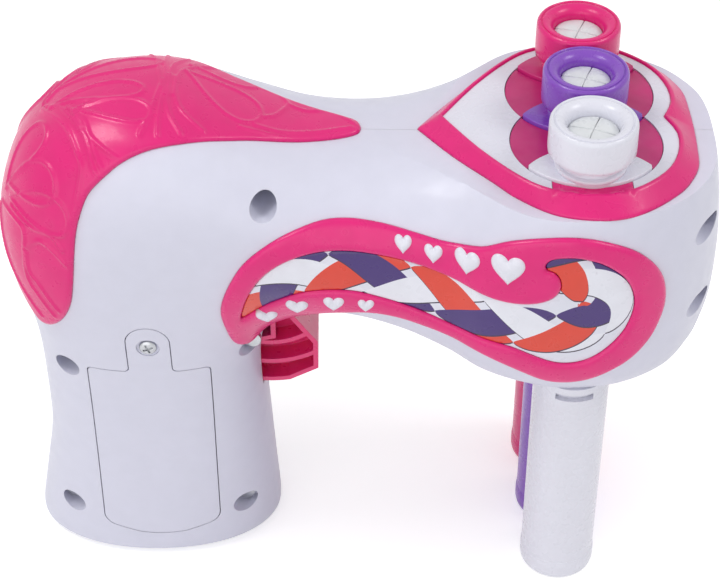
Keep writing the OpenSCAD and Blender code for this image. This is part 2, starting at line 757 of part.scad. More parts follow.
module reduction_gear() color(NYLON)
    on_axle(wheel_x, wheel_y, wheel_z + wheel_t) {
        gear(wheel_x, wheel_y, small_teeth, rotor_module, small_phase, rim_z, wheel_z);
        gear(wheel_x, wheel_y, wheel_teeth, first_module, small_phase, wheel_z, wheel_z + wheel_t);
    }

module motor_pinion() color(BRASS) {
    gear(motor_x, 0, pinion_teeth, first_module, pinion_phase, wheel_z - 0.4, wheel_z + wheel_t);
    translate([motor_x, 0, motor_top - 5])
        cylinder(d = 2, h = wheel_z + wheel_t + 1 - motor_top + 5, $fn = fine);
}

module motor() color(STEEL)
    difference() {
        union() {
            intersection() {
                translate([motor_x, 0, motor_top - motor_len])
                    cylinder(d = motor_d, h = motor_len, $fn = fine);
                translate([motor_x - 0.38 * motor_d, -motor_d, motor_top - motor_len - 1])
                    cube([0.76 * motor_d, 2 * motor_d, motor_len + 2]);
            }
            translate([motor_x, 0, motor_top - eps]) cylinder(d = motor_nose_d, h = 1.6, $fn = fine);
            for (side = [-1, 1])
                translate([motor_x - 1, side * 6 - 0.3, motor_top - motor_len - 3])
                    cube([2, 0.6, 3.1]);
        }
        translate([motor_x, 0, motor_top - 6]) cylinder(d = 2.1, h = 9, $fn = fine);
    }

// ---------- trigger and switch ----------

TRIGGER = [
    [pivot_x - 3, pivot_z - 1], [pivot_x + 0.4, pivot_z - 7], [pivot_x + 0.4, pivot_z - 16.6],
    [trigger_back, pivot_z - 18.7], [trigger_back, trigger_arc_z(trigger_back)],
    for (x = [-34 : 2.5 : -21.5]) [x, trigger_arc_z(x)],
    [trigger_front, pivot_z - trigger_len + 5.2], [trigger_front, pivot_z - trigger_len + 15.6],
    [pivot_x + 5.8, pivot_z - 6.6], [pivot_x + 3.4, pivot_z - 4.4], [pivot_x + 3.5, pivot_z - 1]];

// Height of the trigger's foot, which is round the pivot.
function trigger_arc_z(x) = pivot_z - sqrt(pow(trigger_len, 2) - pow(x - pivot_x, 2));

// A band round the pivot, cut to the trigger's outline.
module trigger_rib(r)
    intersection() {
        side_prism(-trigger_w / 2, trigger_w / 2) polygon(TRIGGER);
        difference() {
            cross_pin(pivot_x, pivot_z, 2 * r + 1.5, -trigger_w / 2, trigger_w / 2);
            cross_pin(pivot_x, pivot_z, 2 * r - 1.5, -trigger_w, trigger_w);
        }
    }

module trigger() color(PINK)
    difference() {
        union() {
            difference() {
                side_prism(-trigger_w / 2, trigger_w / 2) polygon(TRIGGER);
                for (y = [-trigger_w / 2, 1]) side_prism(y - 0.1, y + trigger_w / 2 - 0.9)
                    offset(delta = -1.5) polygon(TRIGGER);
            }
            for (r = [19.5, 27]) trigger_rib(r);
            cross_pin(pivot_x, pivot_z, pivot_d + 4.4, -trigger_w / 2, trigger_w / 2);
        }
        cross_pin(pivot_x, pivot_z, pivot_d + 0.1, -trigger_w, trigger_w);
    }

module trigger_pin() color(STEEL)
    cross_pin(pivot_x, pivot_z, pivot_d - 0.02, -pin_reach + 0.2, pin_reach - 0.2);

// A coil spring along X from x0 to x1.
module coil(x0, x1, y, z, r, wire, turns)
    skin([for (k = [0 : 10 * turns])
        let (a = 36 * k, x = x0 + wire + (x1 - x0 - 2 * wire) * k / (10 * turns))
        [for (q = [0 : 60 : 300])
            [x + wire / 2 * sin(q), y + (r + wire / 2 * cos(q)) * cos(a),
             z + (r + wire / 2 * cos(q)) * sin(a)]]]);

module trigger_spring() color(STEEL)
    coil(tray_side, trigger_back, 0, spring_z, 3, 0.7, 4);

module power_switch() color(DARK)
    difference() {
        translate([tray_side + 0.1, -3, switch_z - 6.4]) cube([switch_front - tray_side - 0.1, 6, 12.8]);
        translate([switch_front - 6, 0, switch_z]) rotate([0, 90, 0])
            cylinder(d = plunger_d + 0.1, h = 8, $fn = fine);
    }

module switch_plunger() color(PURPLE)
    translate([switch_front - 3.5, 0, switch_z]) rotate([0, 90, 0])
        cylinder(d = plunger_d, h = trigger_back - plunger_gap - switch_front + 3.5, $fn = fine);

// ---------- battery bay ----------

module battery_tray() color(DARK)
    difference() {
        translate([bay_x - tray_w / 2, tray_front, tray_foot])
            cube([tray_w, tray_back - tray_front, tray_h]);
        for (side = [-1, 1]) {
            translate([bay_x + side * (cell_d / 2 + 0.5), tray_back - tray_wall - cell_d / 2 - 0.2,
                       tray_foot + tray_wall])
                cylinder(d = cell_d + 0.4, h = tray_h - 2 * tray_wall, $fn = fine);
            translate([bay_x + side * (cell_d / 2 + 0.5) - cell_d / 2 - 0.2, tray_front - 1,
                       tray_foot + tray_wall])
                cube([cell_d + 0.4, 1 + bay_depth - cell_d / 2 - 0.2, tray_h - 2 * tray_wall]);
        }
    }

// A plate at each end of each battery, and a spring on the lower ones.
module battery_contacts() color(STEEL)
    for (side = [-1, 1]) translate([bay_x + side * (cell_d / 2 + 0.5),
                                    tray_back - tray_wall - cell_d / 2 - 0.2, 0]) {
        for (z = [tray_foot + tray_wall, tray_foot + tray_h - tray_wall - 0.5])
            translate([-4, -4, z]) cube([8, 8, 0.5]);
        translate([0, 0, tray_foot + tray_wall]) rotate([0, -90, 0])
            coil(0.3, 5, 0, 0, 2.6, 0.6, 2);
    }

housing_right();
housing_left();
housing_screws();
back_cover();
side_trim_right();
side_trim_left();
braid_panel_right();
braid_panel_left();
heart_studs_right();
heart_studs_left();
heart_bezel();
deck_plate();
lower_guide();
far_rotor();
near_rotor();
pink_carrier();
pink_membrane();
pink_tube();
purple_carrier();
purple_membrane();
purple_tube();
white_carrier();
white_membrane();
white_tube();
gear_plate();
gear_axles();
drive_gear();
near_drive_gear();
reduction_gear();
motor_pinion();
motor();
trigger();
trigger_pin();
trigger_spring();
power_switch();
switch_plunger();
battery_tray();
battery_contacts();
battery_door();
door_screw();
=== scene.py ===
"""Looks of the automatic hair braider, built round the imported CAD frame. Lengths are in mm here."""
import math

import bpy
import numpy as np
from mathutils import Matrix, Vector
from mathutils.bvhtree import BVHTree
from mathutils.geometry import delaunay_2d_cdt
from mathutils.kdtree import KDTree


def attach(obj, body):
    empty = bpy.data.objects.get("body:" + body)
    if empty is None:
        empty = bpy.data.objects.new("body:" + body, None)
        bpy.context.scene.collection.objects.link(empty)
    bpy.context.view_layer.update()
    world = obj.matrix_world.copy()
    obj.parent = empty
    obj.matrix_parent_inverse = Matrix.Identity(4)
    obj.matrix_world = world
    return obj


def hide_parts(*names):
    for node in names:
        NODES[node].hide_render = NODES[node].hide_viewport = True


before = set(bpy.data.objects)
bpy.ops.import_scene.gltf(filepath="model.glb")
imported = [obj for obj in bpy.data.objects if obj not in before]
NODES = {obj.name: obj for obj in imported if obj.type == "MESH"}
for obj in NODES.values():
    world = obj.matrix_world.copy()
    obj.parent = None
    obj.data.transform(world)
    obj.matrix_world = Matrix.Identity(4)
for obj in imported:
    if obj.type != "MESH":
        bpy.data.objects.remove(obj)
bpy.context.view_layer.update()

MM = 0.001

# ---------------------------------------------------------------- sizes, as in part.scad

SZ, UZ, HW, NW = 147.0, 75.0, 25.5, 33.0
HEAD_R, NOSE_X, HEAD_X = 45.2, 58.8, 62.3
PITCH, ROTOR_R, DECK_Z = 24.4, 21.2, 151.3
WALL, TRIM_T, COVER_T = 2.2, 1.4, 1.3
LIFT = 0.05  # between the form and the pieces that lie on it


def nose_row(a, top, under, squareness):
    x = NOSE_X + HEAD_R * math.sin(math.radians(a))
    return [x, top, x, under, HEAD_R * math.cos(math.radians(a)), squareness]


ROWS = np.array([
    [-99.4, 0, -29.6, 0, HW - 4.2, 2.1],
    [-102.3, 1.4, -26.8, 1.4, HW - 1.6, 2.1],
    [-103, 4, -25.9, 4, HW - 0.8, 2.15],
    [-100.2, 20, -26.9, 20, HW - 0.4, 2.25],
    [-96.9, 40, -28.1, 40, HW - 0.4, 2.4],
    [-96.5, 60, -29.1, 58, HW, 2.4],
    [-97.2, 80, -29.5, 70.5, HW + 1.2, 2.4],
    [-100, 98, -28.9, 77.5, HW + 2.8, 2.4],
    [-102.7, 116, -27.5, 82.5, HW + 4.4, 2.4],
    [-100.6, SZ - 14.4, -24.9, 86.3, NW - 2, 2.4],
    [-93.4, SZ + 1, -21.2, 89, NW - 1, 2.4],
    [-81.3, SZ + 11.3, -17, 90.6, NW - 0.4, 2.4],
    [-66.7, SZ + 15.2, -12.5, 91.7, NW - 0.2, 2.4],
    [-50.7, SZ + 13.8, -8.4, 92.3, NW, 2.4],
    [-33.7, SZ + 8, -4.3, 92.5, NW, 2.35],
    [-16.7, SZ + 2.4, -0.2, 92.2, NW, 2.35],
    [-0.7, SZ + 0.3, 5.3, 91, NW + 0.3, 2.45],
    [13.3, SZ + 1, 14.3, UZ + 13, NW + 1.6, 2.6],
    [25.3, SZ + 3, 25.3, UZ + 8.7, NW + 4.4, 2.9],
    [35.3, SZ + 6, 35.3, UZ + 4.7, HEAD_R - 3.1, 3.2],
    [47.3, SZ + 12, 47.3, UZ + 2.8, HEAD_R - 0.7, 3.8],
    nose_row(0, SZ + 14, UZ + 1.6, 4),
    nose_row(20, SZ + 14, UZ + 1.4, 4),
    nose_row(40, SZ + 14, UZ + 2, 3.7),
    nose_row(55, SZ + 9, UZ + 5.5, 3.2),
    nose_row(64, SZ, UZ + 10, 2.9),
    nose_row(72, SZ - 14, UZ + 15, 2.6),
    nose_row(82, SZ - 28, UZ + 22, 2.3),
    nose_row(88, SZ - 36, UZ + 27, 2),
])


def spline(rows, t):
    """Catmull-Rom values of rows at the row numbers t."""
    t = np.asarray(t, float)
    last = len(rows) - 1
    i = np.clip(np.floor(t).astype(int), 0, last - 1)
    f = (t - i)[..., None]
    p0, p1 = rows[np.maximum(i - 1, 0)], rows[i]
    p2, p3 = rows[i + 1], rows[np.minimum(i + 2, last)]
    return 0.5 * (2 * p1 + (p2 - p0) * f + (2 * p0 - 5 * p1 + 4 * p2 - p3) * f * f
                  + (3 * p1 - p0 - 3 * p2 + p3) * f ** 3)


def on_form(t, w, d=0.0):
    """Points of the body's form, moved out by d, at row numbers t and angles w in degrees."""
    r = spline(ROWS, t)
    top, under = r[..., 0:2], r[..., 2:4]
    mid, long = (top + under) / 2, np.linalg.norm(top - under, axis=-1) / 2
    way = (top - under) / (2 * long)[..., None]
    q = 2 / r[..., 5]
    a, b = np.maximum(long + d, 0.3), np.maximum(r[..., 4] + d, 0.3)
    c, s = np.cos(np.radians(w)), np.sin(np.radians(w))
    u = a * np.sign(c) * np.abs(c) ** q
    v = b * np.sign(s) * np.abs(s) ** q
    return np.stack([mid[..., 0] + u * way[..., 0], v, mid[..., 1] + u * way[..., 1]], -1)


def curve(points, n, closed=False):
    """A smooth line through 2-D points, each stretch in n steps."""
    p = np.array(points, float)
    if closed:
        if np.allclose(p[0], p[-1]):
            p = p[:-1]
        m = len(p)
        p = np.vstack([p[-1:], p, p[:2]])
        t = 1 + np.arange(m * n) / n
        return spline(p, t)
    return spline(p, np.arange((len(p) - 1) * n + 1) / n)


# ---------------------------------------------------------------- mesh helpers

def new_object(name, verts, faces, body, slot, replaces):
    """A smooth mesh object from points in mm, riding on a body."""
    mesh = bpy.data.meshes.new(name)
    mesh.from_pydata((np.asarray(verts, float) * MM).tolist(), [], [list(map(int, f)) for f in faces])
    mesh.validate()
    mesh.update()
    mesh.polygons.foreach_set("use_smooth", [True] * len(mesh.polygons))
    obj = bpy.data.objects.new(name, mesh)
    bpy.context.scene.collection.objects.link(obj)
    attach(obj, body)
    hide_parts(*replaces)
    return obj


def inside(poly, pts):
    """Whether each 2-D point lies in the closed polygon."""
    x, y = pts[:, 0], pts[:, 1]
    res = np.zeros(len(pts), bool)
    a, b = poly, np.roll(poly, -1, 0)
    for (x0, y0), (x1, y1) in zip(a, b):
        cross = (y0 > y) != (y1 > y)
        with np.errstate(divide="ignore", invalid="ignore"):
            res ^= cross & (x < (x1 - x0) * (y - y0) / (y1 - y0) + x0)
    return res


def edge_distance(poly, pts):
    """Distance of each 2-D point from the closed polygon's edge."""
    best = np.full(len(pts), 1e9)
    for a, b in zip(poly, np.roll(poly, -1, 0)):
        ab = b - a
        t = np.clip(((pts - a) @ ab) / max(ab @ ab, 1e-12), 0, 1)
        best = np.minimum(best, np.linalg.norm(pts - a - t[:, None] * ab, axis=1))
    return best


def distance_from(loops, pts):
    """Distance of each 2-D point from the nearest of the closed lines."""
    return np.min([edge_distance(loop, pts) for loop in loops], axis=0)


def within(loops, pts):
    """Whether each 2-D point lies in the first closed line and in none of the others."""
    good = inside(loops[0], pts)
    for loop in loops[1:]:
        good &= ~inside(loop, pts)
    return good


def anticlockwise(outline):
    """The closed outline, turned round where it runs clockwise."""
    area = ((outline * np.roll(outline[:, ::-1], -1, 0)) @ [1, -1]).sum()
    return outline[::-1] if area < 0 else outline


def compact(verts, faces):
    """The points that the faces use, and the faces renumbered to them."""
    used = np.unique(faces)
    index = np.full(len(verts), -1)
    index[used] = np.arange(len(used))
    return verts[used], index[faces]


def resample(poly, step):
    """The closed polygon with points about a step apart."""
    out = []
    for a, b in zip(poly, np.roll(poly, -1, 0)):
        n = max(1, int(round(np.linalg.norm(b - a) / step)))
        out += [a + (b - a) * k / n for k in range(n)]
    return np.array(out)


def sheet_mesh(outer, holes, rings, grid, step=0.5, marks=()):
    """A flat triangle mesh of a region: points, triangles and each point's distance from the edge.
    Marks are closed outlines that the triangles follow inside the region."""
    loops = [resample(np.asarray(line, float), step) for line in [outer] + list(holes)]
    pts, edges = [], []
    for loop in loops:
        k = len(pts)
        pts += list(loop)
        edges += [(k + i, k + (i + 1) % len(loop)) for i in range(len(loop))]
    kept = []
    for loop in loops:
        tangent = np.roll(loop, -1, 0) - np.roll(loop, 1, 0)
        normal = np.stack([-tangent[:, 1], tangent[:, 0]], 1)
        normal /= np.linalg.norm(normal, axis=1)[:, None] + 1e-12
        for r in rings:
            for side in (1, -1):
                ring = loop + normal * r * side
                kept.append(ring[distance_from(loops, ring) > r * 0.93])
    lo, hi = loops[0].min(0), loops[0].max(0)
    gx, gy = np.meshgrid(np.arange(lo[0], hi[0], grid), np.arange(lo[1], hi[1], grid))
    gx = gx + (np.arange(gx.shape[0]) % 2)[:, None] * grid / 2
    inner = np.stack([gx.ravel(), gy.ravel()], 1)
    inner = inner[distance_from(loops, inner) > max(rings) + grid * 0.4]
    free = np.vstack(kept + [inner])
    pts = np.vstack([np.array(pts), free[within(loops, free)]])
    for mark in marks:
        k = len(pts)
        pts = np.vstack([pts, mark])
        edges += [(k + i, k + (i + 1) % len(mark)) for i in range(len(mark))]
    out = delaunay_2d_cdt([Vector(p) for p in pts], edges, [], 0, 1e-5)
    v = np.array([tuple(p) for p in out[0]])
    f = np.array([tuple(t) for t in out[2] if len(t) == 3])
    v, f = compact(v, f[within(loops, v[f].mean(1))])
    dist = distance_from(loops, v)
    a = v[f]
    turn = np.cross(a[:, 1] - a[:, 0], a[:, 2] - a[:, 0])
    f[turn < 0] = f[turn < 0][:, ::-1]
    return v, f, dist


def closed_sheet(top, under, faces, dist):
    """Joins a top and an under sheet of one triangulation at the edge, where dist is 0."""
    edge = dist < 1e-4
    n = len(top)
    low = np.where(edge, np.arange(n), np.arange(n) + n)
    return compact(np.vstack([top, under]), np.vstack([faces, low[faces][:, ::-1]]))


def rounded(dist, radius, height):
    """Height over the base of a layer whose edge is a quarter round."""
    x = np.clip(dist / radius, 0, 1)
    return height * np.sqrt(np.maximum(0, 1 - (1 - x) ** 2))


# ---------------------------------------------------------------- the form as a surface

def form_mesh(d, t1=28.0, nt=337, nw=144):
    """The closed form, moved out by d, from row 0 to row t1."""
    t = np.linspace(0, t1, nt)
    w = np.arange(nw) * 360 / nw
    p = on_form(t[:, None] + 0 * w, w + 0 * t[:, None], d).reshape(-1, 3)
    faces = []
    for i in range(nt - 1):
        for k in range(nw):
            a, b = i * nw + k, i * nw + (k + 1) % nw
            faces.append((a, a + nw, b + nw, b))
    faces.append(tuple(range(nw)))
    faces.append(tuple(range(nt * nw - 1, (nt - 1) * nw - 1, -1)))
    return p, faces


_form_v, _form_f = form_mesh(0.0)
FORM = BVHTree.FromPolygons(_form_v.tolist(), _form_f)


def side_y(xz, side):
    """The form's Y at (x, z), seen from one side."""
    out = np.full(len(xz), np.nan)
    for i, (x, z) in enumerate(xz):
        hit = FORM.ray_cast(Vector((x, side * 120.0, z)), Vector((0, -side, 0)))
        if hit[0] is not None:
            out[i] = hit[0].y
    return out


def on_side(xz, side):
    """Points and outward normals of the form's side at (x, z)."""
    e = 0.6
    y = side_y(xz, side)
    dx = (side_y(xz + [e, 0], side) - side_y(xz - [e, 0], side)) / (2 * e)
    dz = (side_y(xz + [0, e], side) - side_y(xz - [0, e], side)) / (2 * e)
    dx, dz = np.nan_to_num(dx), np.nan_to_num(dz)
    n = np.stack([-dx, np.ones(len(y)), -dz], 1) * side
    n /= np.linalg.norm(n, axis=1)[:, None]
    return np.stack([xz[:, 0], y, xz[:, 1]], 1), n


def side_layer(outer, holes, height, radius, side):
    """A layer on the body's side from its outline in X and Z, with a rounded edge."""
    rings = [radius * (1 - math.cos(math.radians(a))) for a in (18, 38, 58, 78)]
    v, f, dist = sheet_mesh(outer, holes, rings, 1.1)
    p, n = on_side(v, side)
    top = p + n * (LIFT + rounded(dist, radius, height))[:, None]
    verts, faces = closed_sheet(top, p + n * LIFT, f, dist)
    return verts, faces[:, ::-1] if side > 0 else faces


# ---------------------------------------------------------------- materials

def nodes_of(mat):
    mat.use_nodes = True
    return mat.node_tree.nodes, mat.node_tree.links


def principled(mat):
    nodes, _ = nodes_of(mat)
    return next(n for n in nodes if n.type == "BSDF_PRINCIPLED")


def noise(mat, scale, detail):
    """A noise value in the object's own space, in cells per metre."""
    nodes, links = nodes_of(mat)
    co = nodes.new("ShaderNodeTexCoord")
    tex = nodes.new("ShaderNodeTexNoise")
    tex.inputs["Scale"].default_value = scale
    tex.inputs["Detail"].default_value = detail
    tex.inputs["Roughness"].default_value = 0.55
    links.new(co.outputs["Object"], tex.inputs["Vector"])
    return tex.outputs["Fac"]


def spread(mat, value, low, high):
    """A noise value, most of which lies from 0.3 to 0.7, mapped to low..high."""
    nodes, links = nodes_of(mat)
    m = nodes.new("ShaderNodeMapRange")
    m.inputs["From Min"].default_value = 0.3
    m.inputs["From Max"].default_value = 0.7
    m.inputs["To Min"].default_value = low
    m.inputs["To Max"].default_value = high
    links.new(value, m.inputs["Value"])
    return m.outputs["Result"]


def mixed(mat, factor, a, b):
    """A colour between a and b."""
    nodes, links = nodes_of(mat)
    m = nodes.new("ShaderNodeMix")
    m.data_type = "RGBA"
    for k, c in ((6, a), (7, b)):
        if hasattr(c, "is_output"):
            links.new(c, m.inputs[k])
        else:
            m.inputs[k].default_value = (*c, 1)
    if hasattr(factor, "is_output"):
        links.new(factor, m.inputs[0])
    else:
        m.inputs[0].default_value = factor
    return m.outputs[2]


def bump(mat, height, strength, distance, before):
    """The normal, or the one before it where there is one, roughened by a height."""
    nodes, links = nodes_of(mat)
    b = nodes.new("ShaderNodeBump")
    b.inputs["Strength"].default_value = strength
    b.inputs["Distance"].default_value = distance
    links.new(height, b.inputs["Height"])
    if before:
        links.new(before, b.inputs["Normal"])
    return b.outputs["Normal"]


def lin(rgb):
    """Linear values of an sRGB colour given from 0 to 255."""
    return tuple(((c / 255 + 0.055) / 1.055) ** 2.4 if c > 10 else c / 255 / 12.92 for c in rgb)


def plastic(name, rgb, rough, coat, shade, sss=0.0, soft_edge=0.0, texture=0.0, metal=0.0,
            mottle=180.0, gloss=0.5):
    """Moulded plastic or metal: slight mottling, uneven gloss and a fine moulded skin.
    The soft edge is in mm, and the mottling in cells per metre."""
    mat = bpy.data.materials.new(name)
    nodes, links = nodes_of(mat)
    p = principled(mat)
    c = lin(rgb)
    dark = tuple(v * shade for v in c)
    cloud = noise(mat, mottle, 2)
    links.new(mixed(mat, spread(mat, cloud, 0, 1), dark, c), p.inputs["Base Color"])
    fine_cloud = noise(mat, 320.0, 1)
    links.new(spread(mat, fine_cloud, rough * 0.85, rough * 1.2), p.inputs["Roughness"])
    p.inputs["Coat Weight"].default_value = coat
    p.inputs["Coat Roughness"].default_value = 0.12
    p.inputs["Specular IOR Level"].default_value = gloss
    p.inputs["Metallic"].default_value = metal
    if sss:
        p.inputs["Subsurface Weight"].default_value = sss
        p.inputs["Subsurface Radius"].default_value = tuple(0.002 * (0.4 + v) for v in c)
        p.inputs["Subsurface Scale"].default_value = 1.0
    normal = None
    if soft_edge:
        b = nodes.new("ShaderNodeBevel")
        b.samples = 6
        b.inputs["Radius"].default_value = soft_edge * MM
        normal = b.outputs["Normal"]
    skin = bump(mat, noise(mat, 260.0, 1), 0.012 + texture, 0.0003, normal)
    links.new(skin, p.inputs["Normal"])
    return mat


PINK = (226, 22, 120)
MAT = {
    "pink": plastic("pink_plastic", PINK, 0.3, 0.12, 0.95, 0, 0.12, gloss=0.4),
    "rotor": plastic("rotor_plastic", (198, 24, 114), 0.42, 0.1, 0.93, 0.08, texture=0.15),
    "trigger": plastic("trigger_plastic", (226, 38, 112), 0.3, 0.3, 0.94, 0.08, 0.25),
    "purple": plastic("purple_plastic", (130, 70, 188), 0.28, 0.15, 0.95, 0, 0.12),
    "shell": plastic("shell_plastic", (216, 216, 232), 0.42, 0.1, 0.975, 0.12, 0.3),
    "white": plastic("white_plastic", (226, 226, 237), 0.28, 0.15, 0.98, 0, 0.12),
    "nylon": plastic("nylon", (226, 222, 206), 0.5, 0.0, 0.95, 0.1, texture=0.2),
    "dark": plastic("black_plastic", (40, 40, 44), 0.45, 0.0, 0.9, 0, texture=0.3),
    "steel": plastic("zinc_steel", (190, 192, 196), 0.32, 0.0, 0.85, 0, 0.15, 0.1, 1.0, 900.0),
    "brass": plastic("brass", (206, 168, 92), 0.3, 0.0, 0.9, 0, 0.1, 0.1, 1.0, 900.0),
    "membrane": plastic("milky_silicone", (224, 227, 230), 0.3, 0.2, 0.96, 0.35),
}
STRANDS = {"print_red": (222, 58, 34), "print_violet": (56, 20, 110), "print_white": (232, 233, 243)}
for key, rgb in list(STRANDS.items()) + [("print_ground", (224, 225, 238)), ("print_line", (44, 26, 58))]:
    MAT[key] = plastic(key, rgb, 0.3, 0.3, 0.95)


def paint(obj, mat):
    """Gives the object one material."""
    obj.data.materials.clear()
    obj.data.materials.append(MAT[mat])
    return obj


# ---------------------------------------------------------------- outlines, as in part.scad

TRIM_EDGE = curve([
    [-31.6, 84.6], [-36.4, 86.5], [-38.8, 96], [-39.6, 106.5], [-36.4, 117.4],
    [-31.3, 126.2], [-23, 133], [-12.7, 136.6], [-4, 137.3], [6, 136.4],
    [16, 134.9], [24, 134.2], [32.4, 135.7], [40.4, 139.6], [48.2, 141.9],
    [56.4, 142.8], [64.6, 141.4], [73.2, 137.5], [79, 131.8], [82.6, 125.6],
    [84.2, 119], [84, 112.6], [81.5, 105], [76.8, 99], [70.5, 94.6],
    [64, 91.5], [57.7, 90.6], [51, 91.6], [42.5, 95.6], [33.8, 99.4],
    [25.3, 102], [17.7, 104.1], [10, 106], [3, 106.6], [-5, 105.2],
    [-15, 101.2], [-24, 94.6]], 4, True)
WINDOW_EDGE = curve([
    [-33.9, 101.2], [-32.6, 108.8], [-29.8, 116], [-25.6, 122.1], [-19.7, 126.3],
    [-12.2, 128.6], [-4, 129], [5, 128.1], [14.8, 126.5], [24.6, 124], [32, 121.8],
    [38, 120.4], [43.5, 120], [48.5, 120.8], [52.2, 122.8], [54.3, 126], [54, 129.4],
    [52.4, 131.6], [50.3, 132.6], [50, 134.2], [51.4, 135.8], [54.5, 136.6],
    [59, 136.4], [65, 134.2], [70.5, 129.8], [73.6, 124.9], [75, 119.6], [74.6, 114.6],
    [72.6, 109.2], [68.3, 103.8], [63.2, 100.2], [57.5, 99.1], [51.5, 100.2],
    [42, 104], [33.4, 105.6], [25, 107.2], [15, 110.8], [5, 113.8], [-2.3, 115.6],
    [-9.9, 115.6], [-17.5, 113.8], [-25.2, 108.8], [-30.2, 104.4]], 4, True)
HEARTS = [
    (11.9, 131.9, 4.9), (20.3, 130.5, 5.2), (29.6, 130.6, 7), (40.2, 131.5, 9),
    (-26.8, 102.4, 6.4), (-17.8, 108.4, 6.6), (-7.4, 110.9, 6), (1.7, 110.9, 4.8)]
HEART_RISE = 1.5
WINDOW_MIDDLE = curve([
    [-38, 95], [-33, 102], [-27.5, 111.5], [-19, 119.5], [-8, 122.3], [5, 121],
    [18, 118], [30, 114.2], [42, 112], [52, 111], [61, 112.5], [66.5, 118], [65.5, 125],
    [60, 130.5], [53, 133.5], [44, 136]], 8)


def heart_outline(x, z, width):
    """A plump heart with its point downwards."""
    a = np.radians(np.arange(0, 360, 5.0))
    k = width / 32
    up = 13 * np.cos(a) - 4.2 * np.cos(2 * a) - 1.6 * np.cos(3 * a) - 0.6 * np.cos(4 * a) + 2
    return np.stack([x + k * 16 * np.sign(np.sin(a)) * np.abs(np.sin(a)) ** 2.6, z + 1.22 * k * up], 1)


# The printed plait of three strands: step from strand to strand, reach of a crossing along the
# band, swing from the band's middle and half width of a strand.
STEP, REACH, SWING, STRAND_HALF = 10.6, 31.8, 5.9, 4.7


def plait():
    """The strands' outlines in X and Z with their paints, in the order in which they are laid."""
    way = np.diff(WINDOW_MIDDLE, axis=0)
    length = np.concatenate([[0], np.cumsum(np.linalg.norm(way, axis=1))])
    normal = np.stack([-way[:, 1], way[:, 0]], 1) / np.linalg.norm(way, axis=1)[:, None]
    u = np.linspace(0, 1, 41)
    laid = []
    for k in range(-3, int(length[-1] / STEP) + 1):
        side = 1 if k % 2 == 0 else -1
        along, across = STEP * k + REACH * u, side * SWING * np.cos(math.pi * u)
        slope = np.gradient(across) / np.gradient(along)
        tilt = np.stack([-slope, np.ones(len(u))], 1) / np.sqrt(1 + slope * slope)[:, None]
        half = STRAND_HALF * np.sin(math.pi * u)[:, None] ** 0.75 * tilt
        flat = np.vstack([np.c_[along, across] + half, (np.c_[along, across] - half)[-2:0:-1]])
        base = np.stack([np.interp(flat[:, 0], length, WINDOW_MIDDLE[:, i]) for i in (0, 1)], 1)
        out = np.stack([np.interp(flat[:, 0], length[1:], normal[:, i]) for i in (0, 1)], 1)
        before_start = np.clip(-flat[:, :1], 0, None) * way[0] / np.linalg.norm(way[0])
        shape = base + out * flat[:, 1:] - before_start
        laid.append(("print_line", shape + [0.12, -0.42]))
        laid.append((list(STRANDS)[k % 3], shape))
    return laid


# ---------------------------------------------------------------- side trims, panels and hearts

def panel_piece(name, side):
    """The printed panel in the trim's window, its triangles painted as the plait lies."""
    laid = plait()
    v, f, dist = sheet_mesh(WINDOW_EDGE, [], (0.12, 0.3), 1.2, 0.5, [shape for _, shape in laid])
    p, n = on_side(v, side)
    verts, faces = closed_sheet(p + n * (LIFT + rounded(dist, 0.3, 0.35))[:, None], p + n * LIFT, f, dist)
    flat, _ = closed_sheet(v, v, f, dist)
    if side > 0:
        faces = faces[:, ::-1]
    panel = new_object("print_" + name, verts, faces, "body", slot="braid_print",
                       replaces=["braid_panel_" + name])
    paints = ["print_ground"] + list(STRANDS) + ["print_line"]
    for key in paints:
        panel.data.materials.append(MAT[key])
    middle = np.array([flat[list(face.vertices)].mean(0) for face in panel.data.polygons])
    index = np.zeros(len(middle), np.int32)
    for key, shape in laid:
        index[inside(shape, middle)] = paints.index(key)
    panel.data.polygons.foreach_set("material_index", index)


for side, name in ((-1, "right"), (1, "left")):
    trim_v, trim_f = side_layer(TRIM_EDGE, [WINDOW_EDGE], TRIM_T, 1.6, side)
    trim = new_object("trim_" + name, trim_v, trim_f, "body", slot="pink_gloss",
                      replaces=["side_trim_" + name])
    paint(trim, "pink")
    panel_piece(name, side)
    hearts_v, hearts_f = [], []
    for x, z, width in HEARTS:
        outline = heart_outline(x, z, width)
        rings = [width * k for k in (0.01, 0.035, 0.08, 0.15, 0.22)]
        v, f, dist = sheet_mesh(outline, [], rings, width / 12, width / 24)
        p, n = on_side(v, side)
        dome = (TRIM_T - 0.4) + rounded(dist, width * 0.34, HEART_RISE)
        dome[dist < 1e-4] = 0.0
        verts, faces = closed_sheet(p + n * (2 * LIFT + dome)[:, None], p + n * 2 * LIFT, f, dist)
        if side > 0:
            faces = faces[:, ::-1]
        hearts_f.append(faces + sum(len(h) for h in hearts_v))
        hearts_v.append(verts)
    studs = new_object("hearts_" + name, np.vstack(hearts_v), np.vstack(hearts_f), "body",
                       slot="white_gloss", replaces=["heart_studs_" + name])
    paint(studs, "white")


# ---------------------------------------------------------------- rear cover

COVER_TOP = curve([
    [0.2, 0], [-0.8, 2.8], [-5.4, 5.2], [-14, 8.1], [-29.6, 13], [-38.8, 16.5], [-47.8, 19.9],
    [-57, 22.3], [-64, 24.2], [-69, 25.8]], 6)
COVER_SIDE = curve([
    [-71.2, 147.6], [-74.5, 143.5], [-77.5, 135.4], [-79, 127.7], [-80.5, 115.5],
    [-82.1, 106.4], [-85, 99.4], [-88.7, 94.4], [-91.9, 93], [-94.5, 95], [-98, 100]], 6)
COVER_CLEFT = curve([[-8.2, 98.5], [-5.6, 102.4], [-2.8, 104.6], [0, 105.3]], 4)


